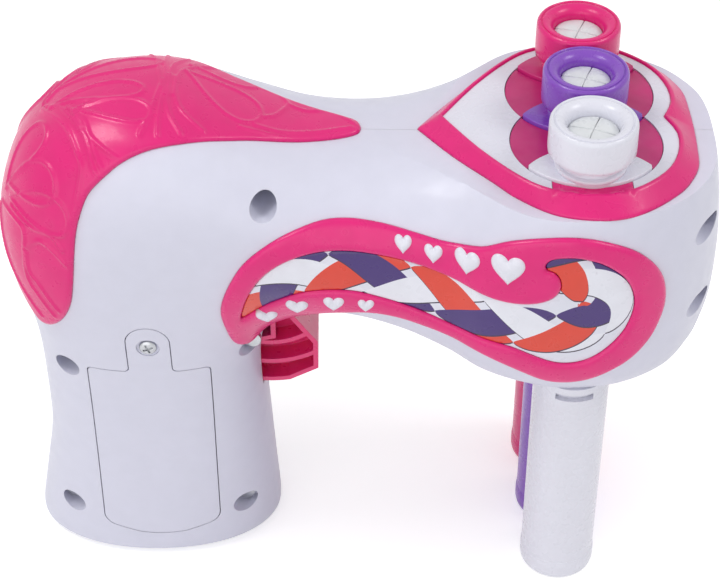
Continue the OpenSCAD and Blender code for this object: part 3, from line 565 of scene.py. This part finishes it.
def fit_to_form(points, t, w):
    """Row numbers and angles of points that lie on the form, from a first guess."""
    for _ in range(12):
        p = on_form(t, w)
        dt, dw = (on_form(t + 0.01, w) - p) / 0.01, (on_form(t, w + 0.5) - p) / 0.5
        r = points - p
        a, b, c = (dt * dt).sum(1), (dt * dw).sum(1), (dw * dw).sum(1)
        e, f = (r * dt).sum(1), (r * dw).sum(1)
        det = np.maximum(a * c - b * b, 1e-9)
        t = np.clip(t + np.clip((c * e - b * f) / det, -0.5, 0.5), 0.2, 27.5)
        w = w + np.clip((a * f - b * e) / det, -6, 6)
    return t, w


def tree_of(cloud):
    """A search tree of points."""
    tree = KDTree(len(cloud))
    for i, p in enumerate(cloud):
        tree.insert(p, i)
    tree.balance()
    return tree


def nearest_on_form(points):
    """Row numbers and angles of points on the form."""
    t, w = np.meshgrid(np.linspace(6, 17, 111), np.linspace(-110, 110, 111), indexing="ij")
    tree = tree_of(on_form(t, w).reshape(-1, 3))
    near = [tree.find(p)[1] for p in points]
    return fit_to_form(points, t.ravel()[near], w.ravel()[near])


def hit_form(origins, way):
    """Where rays meet the form."""
    return np.array([tuple(FORM.ray_cast(Vector(o), Vector(way))[0]) for o in origins])


class Unrolled:
    """The form laid out flat: length along its top line and length round its sections."""

    def __init__(self):
        self.t = np.linspace(6, 16.4, 209)
        self.w = np.linspace(-112, 112, 449)
        p = on_form(self.t[:, None] + 0 * self.w, self.w + 0 * self.t[:, None])
        top = on_form(self.t, 0 * self.t)
        self.s = np.concatenate([[0], np.cumsum(np.linalg.norm(np.diff(top, axis=0), axis=1))])
        step = np.linalg.norm(np.diff(p, axis=1), axis=2)
        u = np.concatenate([np.zeros((len(p), 1)), np.cumsum(step, axis=1)], axis=1)
        self.u = u - u[:, 224:225]

    def row(self, s):
        """The row number at a length along the top line, and its section's lengths."""
        t = np.interp(s, self.s, self.t)
        k = np.clip(np.interp(t, self.t, np.arange(len(self.t))), 0, len(self.t) - 1.001)
        i, f = int(k), k - int(k)
        return t, self.u[i] * (1 - f) + self.u[i + 1] * f

    def flat(self, t, w):
        """Points laid out flat, from row numbers and angles."""
        s = np.interp(t, self.t, self.s)
        return np.array([(a, np.interp(b, self.w, self.row(a)[1])) for a, b in zip(s, w)])

    def back(self, su):
        """Row numbers and angles of points that are laid out flat."""
        out = []
        for s, u in su:
            t, line = self.row(s)
            out.append((t, np.interp(u, line, self.w)))
        return np.array(out).T


# The cover's raised ornament, in row numbers and degrees round the form. Petals: narrow end,
# round end, width in mm. Veins: points of a smooth line.
PETALS = [
    [(13.12, 12), (14.35, -6), 12.5], [(13.15, 19), (14.35, 22), 10.5],
    [(11.2, -12), (12.62, -18), 8.6], [(10.7, -4), (12.5, -4), 7.6], [(10.7, 4), (12.7, 17), 7.6],
    [(9.15, -17), (10.62, -15), 10.5], [(9.3, -18), (10.3, -42), 12.5], [(9.2, -24), (9.95, -57), 12.5],
    [(9.15, 17), (10.62, 15), 10.5], [(9.3, 18), (10.3, 42), 12.5], [(9.2, 24), (9.95, 57), 12.5]]
VEINS = [
    [(14.38, 16), (14.6, 15), (14.8, 8), (14.65, 0), (14.4, -4)],
    [(14.8, 8), (15.1, 5.5), (15.5, 8), (15.75, 4), (15.98, 0)],
    [(14.3, -10), (14.7, -10), (15.2, -6.5), (15.6, -3), (15.9, -1)],
    [(14.05, -14), (14.3, -14), (14.7, -13), (15.2, -10.5), (15.7, -6)]]
FAN = [
    [(12.85, 6), (12.8, -10), (12.62, -31)], [(12.92, 6), (12.9, -14), (13.05, -28)],
    [(13.0, 5), (13.1, -12), (13.45, -23)], [(12.8, 2), (12.6, -18), (12.3, -31)],
    [(10.5, -1), (11.0, -19), (11.02, -37), (10.8, -46), (10.3, -55), (9.95, -58.5)],
    [(10.6, -1), (11.0, -9), (11.3, -28), (11.1, -49)], [(11.1, -9), (11.4, -22), (11.3, -46)],
    [(11.2, -12), (11.45, -32), (11.7, -42)],
    [(8.85, -15), (9.0, -33), (8.9, -41), (8.0, -44), (7.7, -50), (7.3, -58)],
    [(9.1, -26), (9.2, -43), (9.4, -54), (9.3, -61)], [(8.7, -44), (9.1, -50), (9.12, -59), (9.0, -66)],
    [(8.6, -44), (8.2, -46), (8.0, -53), (7.5, -63)], [(8.7, -12), (8.1, -22), (7.5, -34), (7.1, -46)]]
RIDGE_H, RIDGE_W, COVER_EDGE = 0.55, 0.95, 1.1


def petal(root, tip, width, unrolled):
    """A teardrop's outline from its narrow end to its round end."""
    a, b = unrolled.flat(*np.array([root, tip], float).T)
    k = np.linspace(0, 1, 60)
    length = np.linalg.norm(b - a)
    x = length * (1 - np.cos(math.pi * k)) / 2
    y = width / 2 * np.sin(math.pi * k) * (x / length) ** 0.8 / 0.72
    way = (b - a) / length
    side = np.array([-way[1], way[0]])
    half = a + x[:, None] * way
    return [half + y[:, None] * side, half - y[:, None] * side]


def ornament(unrolled):
    """Points closely along all the raised lines, on the form."""
    lines = [line for p in PETALS for line in petal(*p, unrolled)]
    veins = VEINS + FAN + [[(t, -w) for t, w in line] for line in FAN]
    lines += [unrolled.flat(*np.array(curve(v, 8)).T) for v in veins]
    points = []
    for line in lines:
        length = np.concatenate([[0], np.cumsum(np.linalg.norm(np.diff(line, axis=0), axis=1))])
        s = np.arange(0, length[-1], 0.2)
        points.append(np.stack([np.interp(s, length, line[:, k]) for k in (0, 1)], 1))
    t, w = unrolled.back(np.vstack(points))
    return on_form(t, w)


def distance_to(points, cloud):
    """Each point's distance from the nearest one of the cloud."""
    tree = tree_of(cloud)
    return np.array([tree.find(p)[2] for p in points])


def make_cover():
    """The rear cover, from its half outline as seen from above, the side and behind."""
    top = hit_form([(x, -y, 200) for x, y in COVER_TOP[1:]], (0, 0, -1))
    flank = hit_form([(x, -60, z) for x, z in COVER_SIDE], (0, 1, 0))
    cleft = hit_form([(-130, y, z) for y, z in COVER_CLEFT[:-1]], (1, 0, 0))
    rear = hit_form([(-130, 0, COVER_CLEFT[-1][1])], (1, 0, 0))
    tip = hit_form([(COVER_TOP[0][0], 0, 200)], (0, 0, -1))
    half = np.vstack([tip, top, flank, cleft, rear])
    unrolled = Unrolled()
    loop = unrolled.flat(*nearest_on_form(half))
    loop[[0, -1], 1] = 0
    soft = loop.copy()
    soft[1:-1] = (loop[:-2] + 2 * loop[1:-1] + loop[2:]) / 4
    outline = anticlockwise(np.vstack([soft, (soft * [1, -1])[-2:0:-1]]))
    v, f, flat_dist = sheet_mesh(outline, [], (0.12, 0.35, 0.7, 1.15), 0.52, 0.5)
    t, w = unrolled.back(v)
    base = on_form(t, w)
    edge = on_form(*unrolled.back(resample(outline, 0.12)))
    dist = np.where(flat_dist < 1e-4, 0, distance_to(base, edge))
    ridge = np.clip(1 - distance_to(base, ornament(unrolled)) / RIDGE_W, 0, 1)
    ridge = ridge * ridge * (3 - 2 * ridge) * np.clip((dist - 0.9) / 1.2, 0, 1)
    height = rounded(dist, COVER_EDGE, COVER_T - LIFT) + RIDGE_H * ridge
    top_points = on_form(t, w, LIFT + height)
    verts, faces = closed_sheet(top_points, on_form(t, w, LIFT), f, flat_dist)
    a = top_points[f]
    out = np.cross(a[:, 1] - a[:, 0], a[:, 2] - a[:, 0])
    if (out * (a.mean(1) - [-60, 0, 110])).sum() < 0:
        faces = faces[:, ::-1]
    return new_object("rear_cover", verts, faces, "body", slot="pink_gloss", replaces=["back_cover"])


paint(make_cover(), "pink")


# ---------------------------------------------------------------- heart bezel

DECK_HALF = curve([
    [-39.3, 0], [-29.5, 15.6], [-19, 28.4], [-10.8, 34.2], [0, 36.3], [10.5, 34.2],
    [19.9, 26.6], [24.6, 17.5], [25.6, 8], [22.7, 0]], 8)
BEZEL_HALF = curve([
    [-46.3, 0], [-36.6, 13.4], [-26.7, 24.8], [-20, 32.6], [-10.7, 39.7], [-1, 42.2],
    [8, 41.6], [16.2, 37.4], [24.4, 30], [28.4, 24], [30.9, 17.4], [31.6, 8],
    [31.8, 0]], 8)
TAB_HALF_W, TAB_T = 10.8, 1.6
RIM_W, RIM_H, BEZEL_FOOT = 0.9, 0.65, 0.5


def whole_heart(half):
    """A closed outline of a half one, in the head's place."""
    return np.vstack([half, (half * [1, -1])[-2:0:-1]]) + [HEAD_X, 0]


def with_tabs(half):
    """The deck's half outline, stepped in to the rotor's circle between the tab's sides."""
    x = [-TAB_HALF_W, TAB_HALF_W]
    order = np.argsort(half[:-9, 0])
    edge = np.interp(x, half[:-9][order, 0], half[:-9][order, 1])
    a = np.linspace(-1, 1, 25) * math.degrees(math.asin(TAB_HALF_W / ROTOR_R))
    arc = np.stack([ROTOR_R * np.sin(np.radians(a)), PITCH / 2 + ROTOR_R * np.cos(np.radians(a))], 1)
    split = half[:, 0] < 0
    before = half[split & (half[:, 0] < x[0] - 0.1)]
    after = half[~split & ((half[:, 0] > x[1] + 0.1) | (half[:, 1] < 12))]
    return np.vstack([before, [[x[0], edge[0]]], arc, [[x[1], edge[1]]], after])


def make_bezel():
    """The heart's bezel: a straight slope up to a lip round the deck, with two flat tabs."""
    outer, deck = anticlockwise(whole_heart(BEZEL_HALF)), whole_heart(DECK_HALF)
    inner = whole_heart(with_tabs(DECK_HALF))
    v, f, dist = sheet_mesh(outer, [inner], (0.15, 0.45, 0.9, 1.5, 2.3), 0.8, 0.6)
    out, inn = edge_distance(outer, v), edge_distance(deck, v)
    on_tab = inside(deck, v) & (inn > 0.05)
    share = out / (out + np.maximum(inn - RIM_W, 0) + 1e-9)
    band = SZ + rounded(out, 0.25, BEZEL_FOOT) + (DECK_Z + RIM_H - SZ - BEZEL_FOOT) * share
    lip = DECK_Z + rounded(inn, 0.35, RIM_H)
    z = np.where(on_tab, DECK_Z, np.where(out < 1e-4, SZ, np.minimum(band, lip)))
    under = np.where(on_tab, DECK_Z - TAB_T, SZ)
    verts, faces = closed_sheet(np.c_[v, z], np.c_[v, under], f, dist)
    return new_object("bezel", verts, faces, "body", slot="pink_gloss", replaces=["heart_bezel"])


paint(make_bezel(), "pink")


# ---------------------------------------------------------------- body shells and battery door

SCREWS = [
    (-26.5, 141.2), (-86.6, 77), (-32.2, 80.5), (-90.2, 17.5), (-36.2, 16.5), (96, 131), (96.4, 104)]
COUNTERBORE_D, BOSS_D, SCREW_FLOOR = 7.4, 10.2, 12
BELL_R, GUIDE_Z = 24.2, 81.0
BAY_X, DOOR_FOOT, DOOR_W, DOOR_H, DOOR_GAP = -62.2, 9.5, 36, 70, 0.25
DOOR_FOOT_R, DOOR_R = 46, 4.5
TAB_X, TAB_R, TAB_Z = -61.4, 6.3, 92.2
DOOR_SCREW_Z = TAB_Z - 2


def solid(name, verts, faces):
    """A helper solid for cuts, which isn't part of the scene."""
    mesh = bpy.data.meshes.new(name)
    mesh.from_pydata((np.asarray(verts, float)).tolist(), [], [list(map(int, f)) for f in faces])
    mesh.update()
    return bpy.data.objects.new(name, mesh)


def prism(outline, low, high, along="y"):
    """A 2-D outline made solid along Y (its points are X, Z) or Z (X, Y)."""
    p = anticlockwise(np.asarray(outline, float))
    n = len(p)
    if along == "y":
        ends = [np.c_[p[:, 0], np.full(n, y), p[:, 1]] for y in (high, low)]
    else:
        ends = [np.c_[p, np.full(n, z)] for z in (low, high)]
    faces = [tuple(range(n - 1, -1, -1)), tuple(range(n, 2 * n))]
    faces += [(i, (i + 1) % n, n + (i + 1) % n, n + i) for i in range(n)]
    return solid("prism", np.vstack(ends), faces)


def round_outline(x, y, r):
    a = np.radians(np.arange(64) * 360 / 64)
    return np.c_[x + r * np.cos(a), y + r * np.sin(a)]


def block(lo, hi):
    """A box from its lowest to its highest corner."""
    return prism([(lo[0], lo[1]), (hi[0], lo[1]), (hi[0], hi[1]), (lo[0], hi[1])], lo[2], hi[2], "z")


def form_solid(d, t1=28.0, nt=225, nw=144):
    return solid("form", *form_mesh(d, t1, nt, nw))


def combined(base, *steps):
    """The base solid after a row of (operation, solid) steps, as a mesh of its own."""
    holder = bpy.data.objects.new("holder", base.data.copy())
    bpy.context.scene.collection.objects.link(holder)
    for kind, tool in steps:
        bpy.context.scene.collection.objects.link(tool)
        m = holder.modifiers.new("step", "BOOLEAN")
        m.operation, m.object, m.solver = kind, tool, "MANIFOLD"
    graph = bpy.context.evaluated_depsgraph_get()
    mesh = bpy.data.meshes.new_from_object(holder.evaluated_get(graph))
    for obj in [holder] + [tool for _, tool in steps]:
        bpy.data.objects.remove(obj)
    return bpy.data.objects.new("combined", mesh)


def piece_of(result, name, body, **kw):
    """A combined solid as a piece of the scene, with crisp edges and smooth faces."""
    v = np.zeros(len(result.data.vertices) * 3)
    result.data.vertices.foreach_get("co", v)
    faces = [tuple(p.vertices) for p in result.data.polygons]
    obj = new_object(name, v.reshape(-1, 3), faces, body, **kw)
    obj.data.set_sharp_from_angle(angle=math.radians(32))
    return obj


def eased(corners):
    """An outline whose corners, given as X, Z and radius, are rounded off."""
    out, n = [], len(corners)
    for i, (x, z, r) in enumerate(corners):
        here = np.array([x, z], float)
        before, after = (np.array(corners[j][:2]) - here for j in (i - 1, (i + 1) % n))
        before, after = before / np.linalg.norm(before), after / np.linalg.norm(after)
        half = math.acos(np.clip(before @ after, -1, 1)) / 2
        if not r or half > 1.5:
            out.append(here)
            continue
        reach = r / math.tan(half)
        centre = here + (before + after) / np.linalg.norm(before + after) * r / math.sin(half)
        a, b = here + before * reach - centre, here + after * reach - centre
        turn = math.atan2(a[0] * b[1] - a[1] * b[0], a @ b)
        for k in np.linspace(0, turn, 9):
            c, s = math.cos(k), math.sin(k)
            out.append(centre + [c * a[0] - s * a[1], s * a[0] + c * a[1]])
    return np.array(out)


def door_outline(gap):
    """The battery door's outline with its round tab, moved out by a gap."""
    x0, x1 = BAY_X - DOOR_W / 2 - gap, BAY_X + DOOR_W / 2 + gap
    top = DOOR_FOOT + DOOR_H + gap
    r = DOOR_FOOT_R + gap
    reach = math.degrees(math.asin((DOOR_W / 2 + gap) / r))
    foot = [(BAY_X + r * math.sin(math.radians(a)),
             DOOR_FOOT + DOOR_FOOT_R - r * math.cos(math.radians(a)), 0)
            for a in np.linspace(-reach, reach, 21)]
    foot = [(*foot[0][:2], DOOR_R)] + foot[6:-6] + [(*foot[-1][:2], DOOR_R)]
    tab = [(TAB_X + (TAB_R + gap) * math.cos(math.radians(a)),
            TAB_Z + (TAB_R + gap) * math.sin(math.radians(a)), 0) for a in np.linspace(0, 180, 33)]
    right = [(x1, top, 1.6), (tab[0][0], top, 1.5)]
    left = [(tab[-1][0], top, 1.5), (x0, top, 1.6)]
    return eased(foot + right + tab + left)


def hollow_form():
    """The body's form, hollowed out, with its roof under the deck."""
    inner = combined(form_solid(-WALL, 25.8, 130, 96),
                     ("DIFFERENCE", block((-120, -60, -10), (120, 60, WALL))),
                     ("DIFFERENCE", block((16, -70, SZ - WALL), (136, 70, SZ + 60))))
    slot = prism([(-40.2, 57.1), (-11.8, 57.1), (-11.8, 74), (-20.8, 87), (-22.8, 97.4),
                  (-32, 97.4), (-40.2, 88)], -7.5, 7.5)
    return combined(form_solid(0), ("DIFFERENCE", inner), ("DIFFERENCE", slot))


def shoulder_cut():
    """What is cut off above the head's shoulder, running out gently into the neck's top."""
    x = np.linspace(16, -44, 31)
    line = [(136, SZ + 60), (136, SZ)] + [(a, SZ + 6.4e-5 * (16 - a) ** 3) for a in x] + [(-44, SZ + 60)]
    return prism(line, -70, 70)


def make_shells():
    hollow = hollow_form()
    for side, name in ((-1, "right"), (1, "left")):
        steps = []
        for x, z in SCREWS:
            if side < 0:
                post = combined(prism(round_outline(x, z, BOSS_D / 2), -60, 2 - SCREW_FLOOR),
                                ("INTERSECT", form_solid(-0.4, 28.0, 113, 96)))
                steps.append(("UNION", post))
        steps += [
            ("DIFFERENCE", block((-120, 0 if side < 0 else -70, -10), (120, 70 if side < 0 else 0, 200))),
            ("DIFFERENCE", shoulder_cut())]
        for y in (-PITCH / 2, PITCH / 2):
            steps += [
                ("DIFFERENCE", prism(round_outline(HEAD_X, y, ROTOR_R + 1.2), SZ - 10, SZ + 10, "z")),
                ("DIFFERENCE", prism(round_outline(HEAD_X, y, BELL_R), UZ - 10, GUIDE_Z, "z")),
                ("DIFFERENCE", prism(round_outline(HEAD_X, y, ROTOR_R + 0.3), GUIDE_Z - 1, GUIDE_Z + 4, "z"))]
        if side < 0:
            steps += [("DIFFERENCE", prism(round_outline(x, z, COUNTERBORE_D / 2), -60, -SCREW_FLOOR))
                      for x, z in SCREWS]
            steps.append(("DIFFERENCE", prism(door_outline(DOOR_GAP), -60, -14)))
        shell = piece_of(combined(hollow, *steps), "shell_" + name, "body",
                         slot="white_shell", replaces=["housing_" + name])
        paint(shell, "shell")


def make_door():
    inner = form_solid(0.3 - WALL, 25.8, 130, 96)
    door = combined(form_solid(0), ("DIFFERENCE", inner),
                    ("INTERSECT", prism(door_outline(0), -60, -14)),
                    ("DIFFERENCE", prism(round_outline(TAB_X, DOOR_SCREW_Z, 1.5), -60, 0)),
                    ("DIFFERENCE", prism(round_outline(TAB_X, DOOR_SCREW_Z, 3.4), -60, -28)))
    paint(piece_of(door, "door_panel", "door", slot="white_shell", replaces=["battery_door"]), "shell")


def turned(x, z, profile):
    """A solid turned round a line along Y, from radii and falling Y values."""
    n, m = 48, len(profile)
    a = np.radians(np.arange(n) * 360 / n)
    rings = [np.c_[x + r * np.cos(a), np.full(n, y), z + r * np.sin(a)] for r, y in profile]
    faces = [tuple(range(n - 1, -1, -1)), tuple(range((m - 1) * n, m * n))]
    faces += [(k * n + i, k * n + (i + 1) % n, (k + 1) * n + (i + 1) % n, (k + 1) * n + i)
              for k in range(m - 1) for i in range(n)]
    return solid("turned", np.vstack(rings), faces)


def make_door_screw():
    """A pan-head screw with a cross recess, low in the door's tab."""
    dome = [(2.6 * math.cos(math.radians(a)), -28.3 - 1.1 * math.sin(math.radians(a)))
            for a in range(0, 76, 15)]
    half, arm = 0.32, 1.55
    cross = np.array([(half, half), (half, arm), (-half, arm), (-half, half), (-arm, half), (-arm, -half),
                      (-half, -half), (-half, -arm), (half, -arm), (half, -half), (arm, -half), (arm, half)])
    c, t = math.cos(0.4), math.sin(0.4)
    x, z = TAB_X, DOOR_SCREW_Z
    cross = np.c_[x + c * cross[:, 0] - t * cross[:, 1], z + t * cross[:, 0] + c * cross[:, 1]]
    screw = combined(turned(x, z, [(1.3, -21), (1.3, -28), (2.6, -28)] + dome),
                     ("DIFFERENCE", prism(cross, -60, -28.6)))
    paint(piece_of(screw, "door_screw_head", "door", slot="steel", replaces=["door_screw"]), "steel")


make_shells()
make_door()
make_door_screw()


# ---------------------------------------------------------------- what the frame brings

FINISH = {
    "deck_plate": "white", "lower_guide": "nylon", "far_rotor": "rotor", "near_rotor": "rotor",
    "pink_tube": "pink", "purple_tube": "purple", "white_tube": "white", "gear_plate": "nylon",
    "gear_axles": "steel",
    "drive_gear": "nylon", "near_drive_gear": "nylon", "reduction_gear": "nylon",
    "motor_pinion": "brass", "motor": "steel", "trigger": "trigger", "trigger_pin": "steel",
    "trigger_spring": "steel", "power_switch": "dark", "switch_plunger": "purple",
    "battery_tray": "dark", "battery_contacts": "steel",
    "housing_screws": "steel"}

MEMBRANE_D, MEMBRANE_Z, SLIT_HALF = 14.0, 163.0, 0.015


def make_membrane(name, y, body):
    """A slit silicone disc as four domed sectors that meet at the slits."""
    verts, faces, count = [], [], 0
    for quarter in range(4):
        turn = math.radians(-20 + 90 * quarter)
        r = MEMBRANE_D / 2 - 0.05
        a = np.linspace(0.02, math.pi / 2 - 0.02, 24)
        shape = np.vstack([[SLIT_HALF, SLIT_HALF], np.c_[r * np.cos(a), r * np.sin(a)]])
        v, f, dist = sheet_mesh(shape, [], (0.08, 0.22, 0.45, 0.9), 0.7, 0.35)
        crown = 0.45 + rounded(dist, 0.4, 0.2) + 0.5 * (1 - (v ** 2).sum(1) / r ** 2)
        crown = crown + 0.22 * np.clip(dist / 2.2, 0, 1)
        c, t = math.cos(turn), math.sin(turn)
        flat = np.c_[HEAD_X + c * v[:, 0] - t * v[:, 1], y + t * v[:, 0] + c * v[:, 1]]
        top = np.c_[flat, MEMBRANE_Z + crown]
        part_v, part_f = closed_sheet(top, np.c_[flat, np.full(len(v), MEMBRANE_Z + 0.02)], f, dist)
        verts.append(part_v)
        faces.append(part_f + count)
        count += len(part_v)
    disc = new_object(name + "_slit_disc", np.vstack(verts), np.vstack(faces), body,
                      slot="clear_white", replaces=[name + "_membrane"])
    paint(disc, "membrane")


# Half of a carrier's section from its bore up: spigot, column, foot ring, knob, lip and funnel.
LIP = [(10.0 - 3.0 * math.cos(math.radians(a)), 164.3 + 3.1 * math.sin(math.radians(a)))
       for a in range(90, -1, -10)]
CARRIER = [
    (6.2, 73), (9.45, 73), (9.45, 81), (8, 81), (8, 150), (9.3, 150), (9.4, 152.3), (9.75, 152.6),
    (9.9, 153.1), (9.8, 153.6), (9.4, 153.9), (8.9, 154.1), (8.8, 157), (11.1, 157), (11.6, 157.15),
    (11.95, 157.6), (12.05, 158.4), (12.08, 160), (12.0, 166), (11.93, 166.6), (11.7, 167.1),
    (11.3, 167.4), (11.0, 167.4), (10.82, 167.25), (10.7, 167.0), (10.45, 167.0), (10.32, 167.25)
    ] + LIP + [(7.02, 163.9), (7.02, 163), (6.2, 163)]
LENS_R, LENS_HALF_W, RIM_Z = 21.0, 16.7, (128, 134)
ROTOR_TEETH, ROTOR_MODULE, PLATE_BORE_R = 40, 1.0, 7.4


def lens_outline(y):
    """What two neighbouring rotors' circles share, in X and Y, cut off at its sides."""
    x = np.linspace(-LENS_HALF_W, LENS_HALF_W, 33)
    bow = np.sqrt(LENS_R ** 2 - x * x) - PITCH / 2
    return np.vstack([np.c_[HEAD_X + x, y - bow], np.c_[HEAD_X + x, y + bow][::-1]])


def toothed(y):
    """A rotor's toothed outline in X and Y, with a tooth on +X."""
    tip, root = (ROTOR_MODULE * (ROTOR_TEETH / 2 + k) for k in (0.8, -1.15))
    points = []
    for k in range(ROTOR_TEETH):
        for part, r in ((-0.64, root), (-0.2, tip), (0.2, tip), (0.64, root)):
            a = math.radians((360 * k + 180 * part) / ROTOR_TEETH)
            points.append((HEAD_X + r * math.cos(a), y + r * math.sin(a)))
    return points


def toothed_lens(y):
    """A carrier's share of the two rotors' toothed rims."""
    half = LENS_HALF_W - 1
    low, high = RIM_Z
    return combined(
        prism(toothed(y + PITCH / 2), low, high, "z"),
        ("INTERSECT", prism(toothed(y - PITCH / 2), low - 1, high + 1, "z")),
        ("INTERSECT", block((HEAD_X - half, y - 40, low - 2), (HEAD_X + half, y + 40, high + 2))),
        ("DIFFERENCE", prism(round_outline(HEAD_X, y, PLATE_BORE_R), low - 3, high + 3, "z")))


def ring_faces(n, m):
    """Faces between m rings of n points, the last ring joined to the first."""
    return [(k * n + i, k * n + (i + 1) % n, (k + 1) % m * n + (i + 1) % n, (k + 1) % m * n + i)
            for k in range(m) for i in range(n)]


def rounded_plate(outline, low, high):
    """A plate round a bore, over a convex outline, its upper edge rounded."""
    n, middle, edge = len(outline), outline.mean(0), 0.35
    away = outline - middle
    reach = np.linalg.norm(away, axis=1)[:, None]
    bore = middle + away / reach * PLATE_BORE_R
    rings = [np.c_[bore, np.full(n, low)], np.c_[outline, np.full(n, low)]]
    for a in (0, 30, 60, 90):
        inset = edge * (1 - math.cos(math.radians(a)))
        z = high - edge + edge * math.sin(math.radians(a))
        rings.append(np.c_[middle + away * (1 - inset / reach), np.full(n, z)])
    rings.append(np.c_[bore, np.full(n, high)])
    return np.vstack(rings), ring_faces(n, len(rings))


def make_carrier(name, y, body, finish, plate_finish, slot):
    """A hair tube's carrier: the turned knob and column with the three lenses that hold it."""
    n, m = 96, len(CARRIER)
    a = np.radians(np.arange(n) * 360 / n)
    verts = [np.c_[HEAD_X + r * np.cos(a), y + r * np.sin(a), np.full(n, z)] for r, z in CARRIER]
    faces = ring_faces(n, m)
    knob_faces, count = len(faces), n * m
    plates = [rounded_plate(lens_outline(y), low, high) for low, high in ((148.8, 152.2), (81, 84.2))]
    rim = toothed_lens(y).data
    plates.append(([v.co for v in rim.vertices], [tuple(face.vertices) for face in rim.polygons]))
    for v, f in plates:
        verts.append(v)
        faces += [tuple(i + count for i in face) for face in f]
        count += len(v)
    piece = new_object(name + "_knob", np.vstack(verts), faces, body, slot=slot, replaces=[name + "_carrier"])
    piece.data.set_sharp_from_angle(angle=math.radians(34))
    piece.data.materials.append(MAT[finish])
    piece.data.materials.append(MAT[plate_finish])
    for face in piece.data.polygons:
        face.material_index = int(face.index >= knob_faces)


for name, y, body, finish, plate_finish in (
        ("pink", PITCH, "far_set", "pink", "rotor"), ("purple", 0, "far_set", "purple", "purple"),
        ("white", -PITCH, "body", "white", "white")):
    make_carrier(name, y, body, finish, plate_finish, name + "_gloss")
    make_membrane(name, y, body)

for node_name, finish in FINISH.items():
    obj = NODES[node_name]
    paint(obj, finish)
    obj.data.polygons.foreach_set("use_smooth", [True] * len(obj.data.polygons))
    obj.data.set_sharp_from_angle(angle=math.radians(32))


# ---------------------------------------------------------------- stage, lights and camera

def seen_directly(tree):
    """1 for what the camera sees, directly, in a reflection or through glass, else 0."""
    path = tree.nodes.new("ShaderNodeLightPath")
    value = path.outputs["Is Camera Ray"]
    for ray in ("Is Glossy Ray", "Is Transmission Ray"):
        most = tree.nodes.new("ShaderNodeMath")
        most.operation = "MAXIMUM"
        tree.links.new(value, most.inputs[0])
        tree.links.new(path.outputs[ray], most.inputs[1])
        value = most.outputs[0]
    return value


def mapped(tree, value, low, high):
    """The value mapped from 0..1 to low..high."""
    m = tree.nodes.new("ShaderNodeMapRange")
    m.inputs["To Min"].default_value = low
    m.inputs["To Max"].default_value = high
    tree.links.new(value, m.inputs["Value"])
    return m.outputs["Result"]


def stage_material(name, tone, glow):
    """Pale matt surface that shows white to the camera and in reflections, and keeps a shadow."""
    mat = bpy.data.materials.new(name)
    nodes, links = nodes_of(mat)
    p = principled(mat)
    cloud = spread(mat, noise(mat, 6.0, 3), 0, 1)
    links.new(mixed(mat, cloud, (tone * 0.985,) * 3, (tone,) * 3), p.inputs["Base Color"])
    p.inputs["Roughness"].default_value = 0.9
    p.inputs["Emission Color"].default_value = (1, 1, 1, 1)
    links.new(mapped(mat.node_tree, seen_directly(mat.node_tree), 0.0, glow), p.inputs["Emission Strength"])
    return mat


def make_floor():
    bpy.ops.mesh.primitive_plane_add(size=6, location=(0, 0, -0.0002))
    floor = bpy.context.object
    floor.name = "floor"
    floor.data.materials.append(stage_material("floor_white", 0.85, 0.47))


def area_light(name, location, target, size, power):
    data = bpy.data.lights.new(name, "AREA")
    data.shape = "RECTANGLE"
    data.size, data.size_y = size
    data.energy = power
    obj = bpy.data.objects.new(name, data)
    obj.location = location
    obj.rotation_euler = (Vector(target) - Vector(location)).to_track_quat("-Z", "Y").to_euler()
    bpy.context.scene.collection.objects.link(obj)
    return obj


def make_world():
    world = bpy.data.worlds.new("studio")
    bpy.context.scene.world = world
    world.use_nodes = True
    nodes, links = world.node_tree.nodes, world.node_tree.links
    back = nodes["Background"]
    back.inputs["Color"].default_value = (1, 1, 1, 1)
    tree = world.node_tree
    links.new(mapped(tree, seen_directly(tree), 0.55, 1.0), back.inputs["Strength"])


def make_camera():
    data = bpy.data.cameras.new("camera")
    data.lens, data.sensor_width = 100, 36
    camera = bpy.data.objects.new("camera", data)
    camera.location = (-0.0001, -0.4631, 0.4714)
    camera.rotation_euler = (math.radians(50.4), 0, 0)
    bpy.context.scene.collection.objects.link(camera)
    bpy.context.scene.camera = camera


make_floor()
make_world()
area_light("key", (-0.4, -0.08, 0.85), (0, 0, 0.1), (0.3, 0.24), 1.9)
area_light("fill", (0.58, -0.06, 0.75), (0.03, 0, 0.1), (0.3, 0.24), 1.4)
area_light("front", (-0.32, -0.9, 0.4), (-0.04, 0, 0.07), (1.2, 0.8), 3.1)
make_camera()
bpy.context.scene.view_settings.view_transform = "Standard"
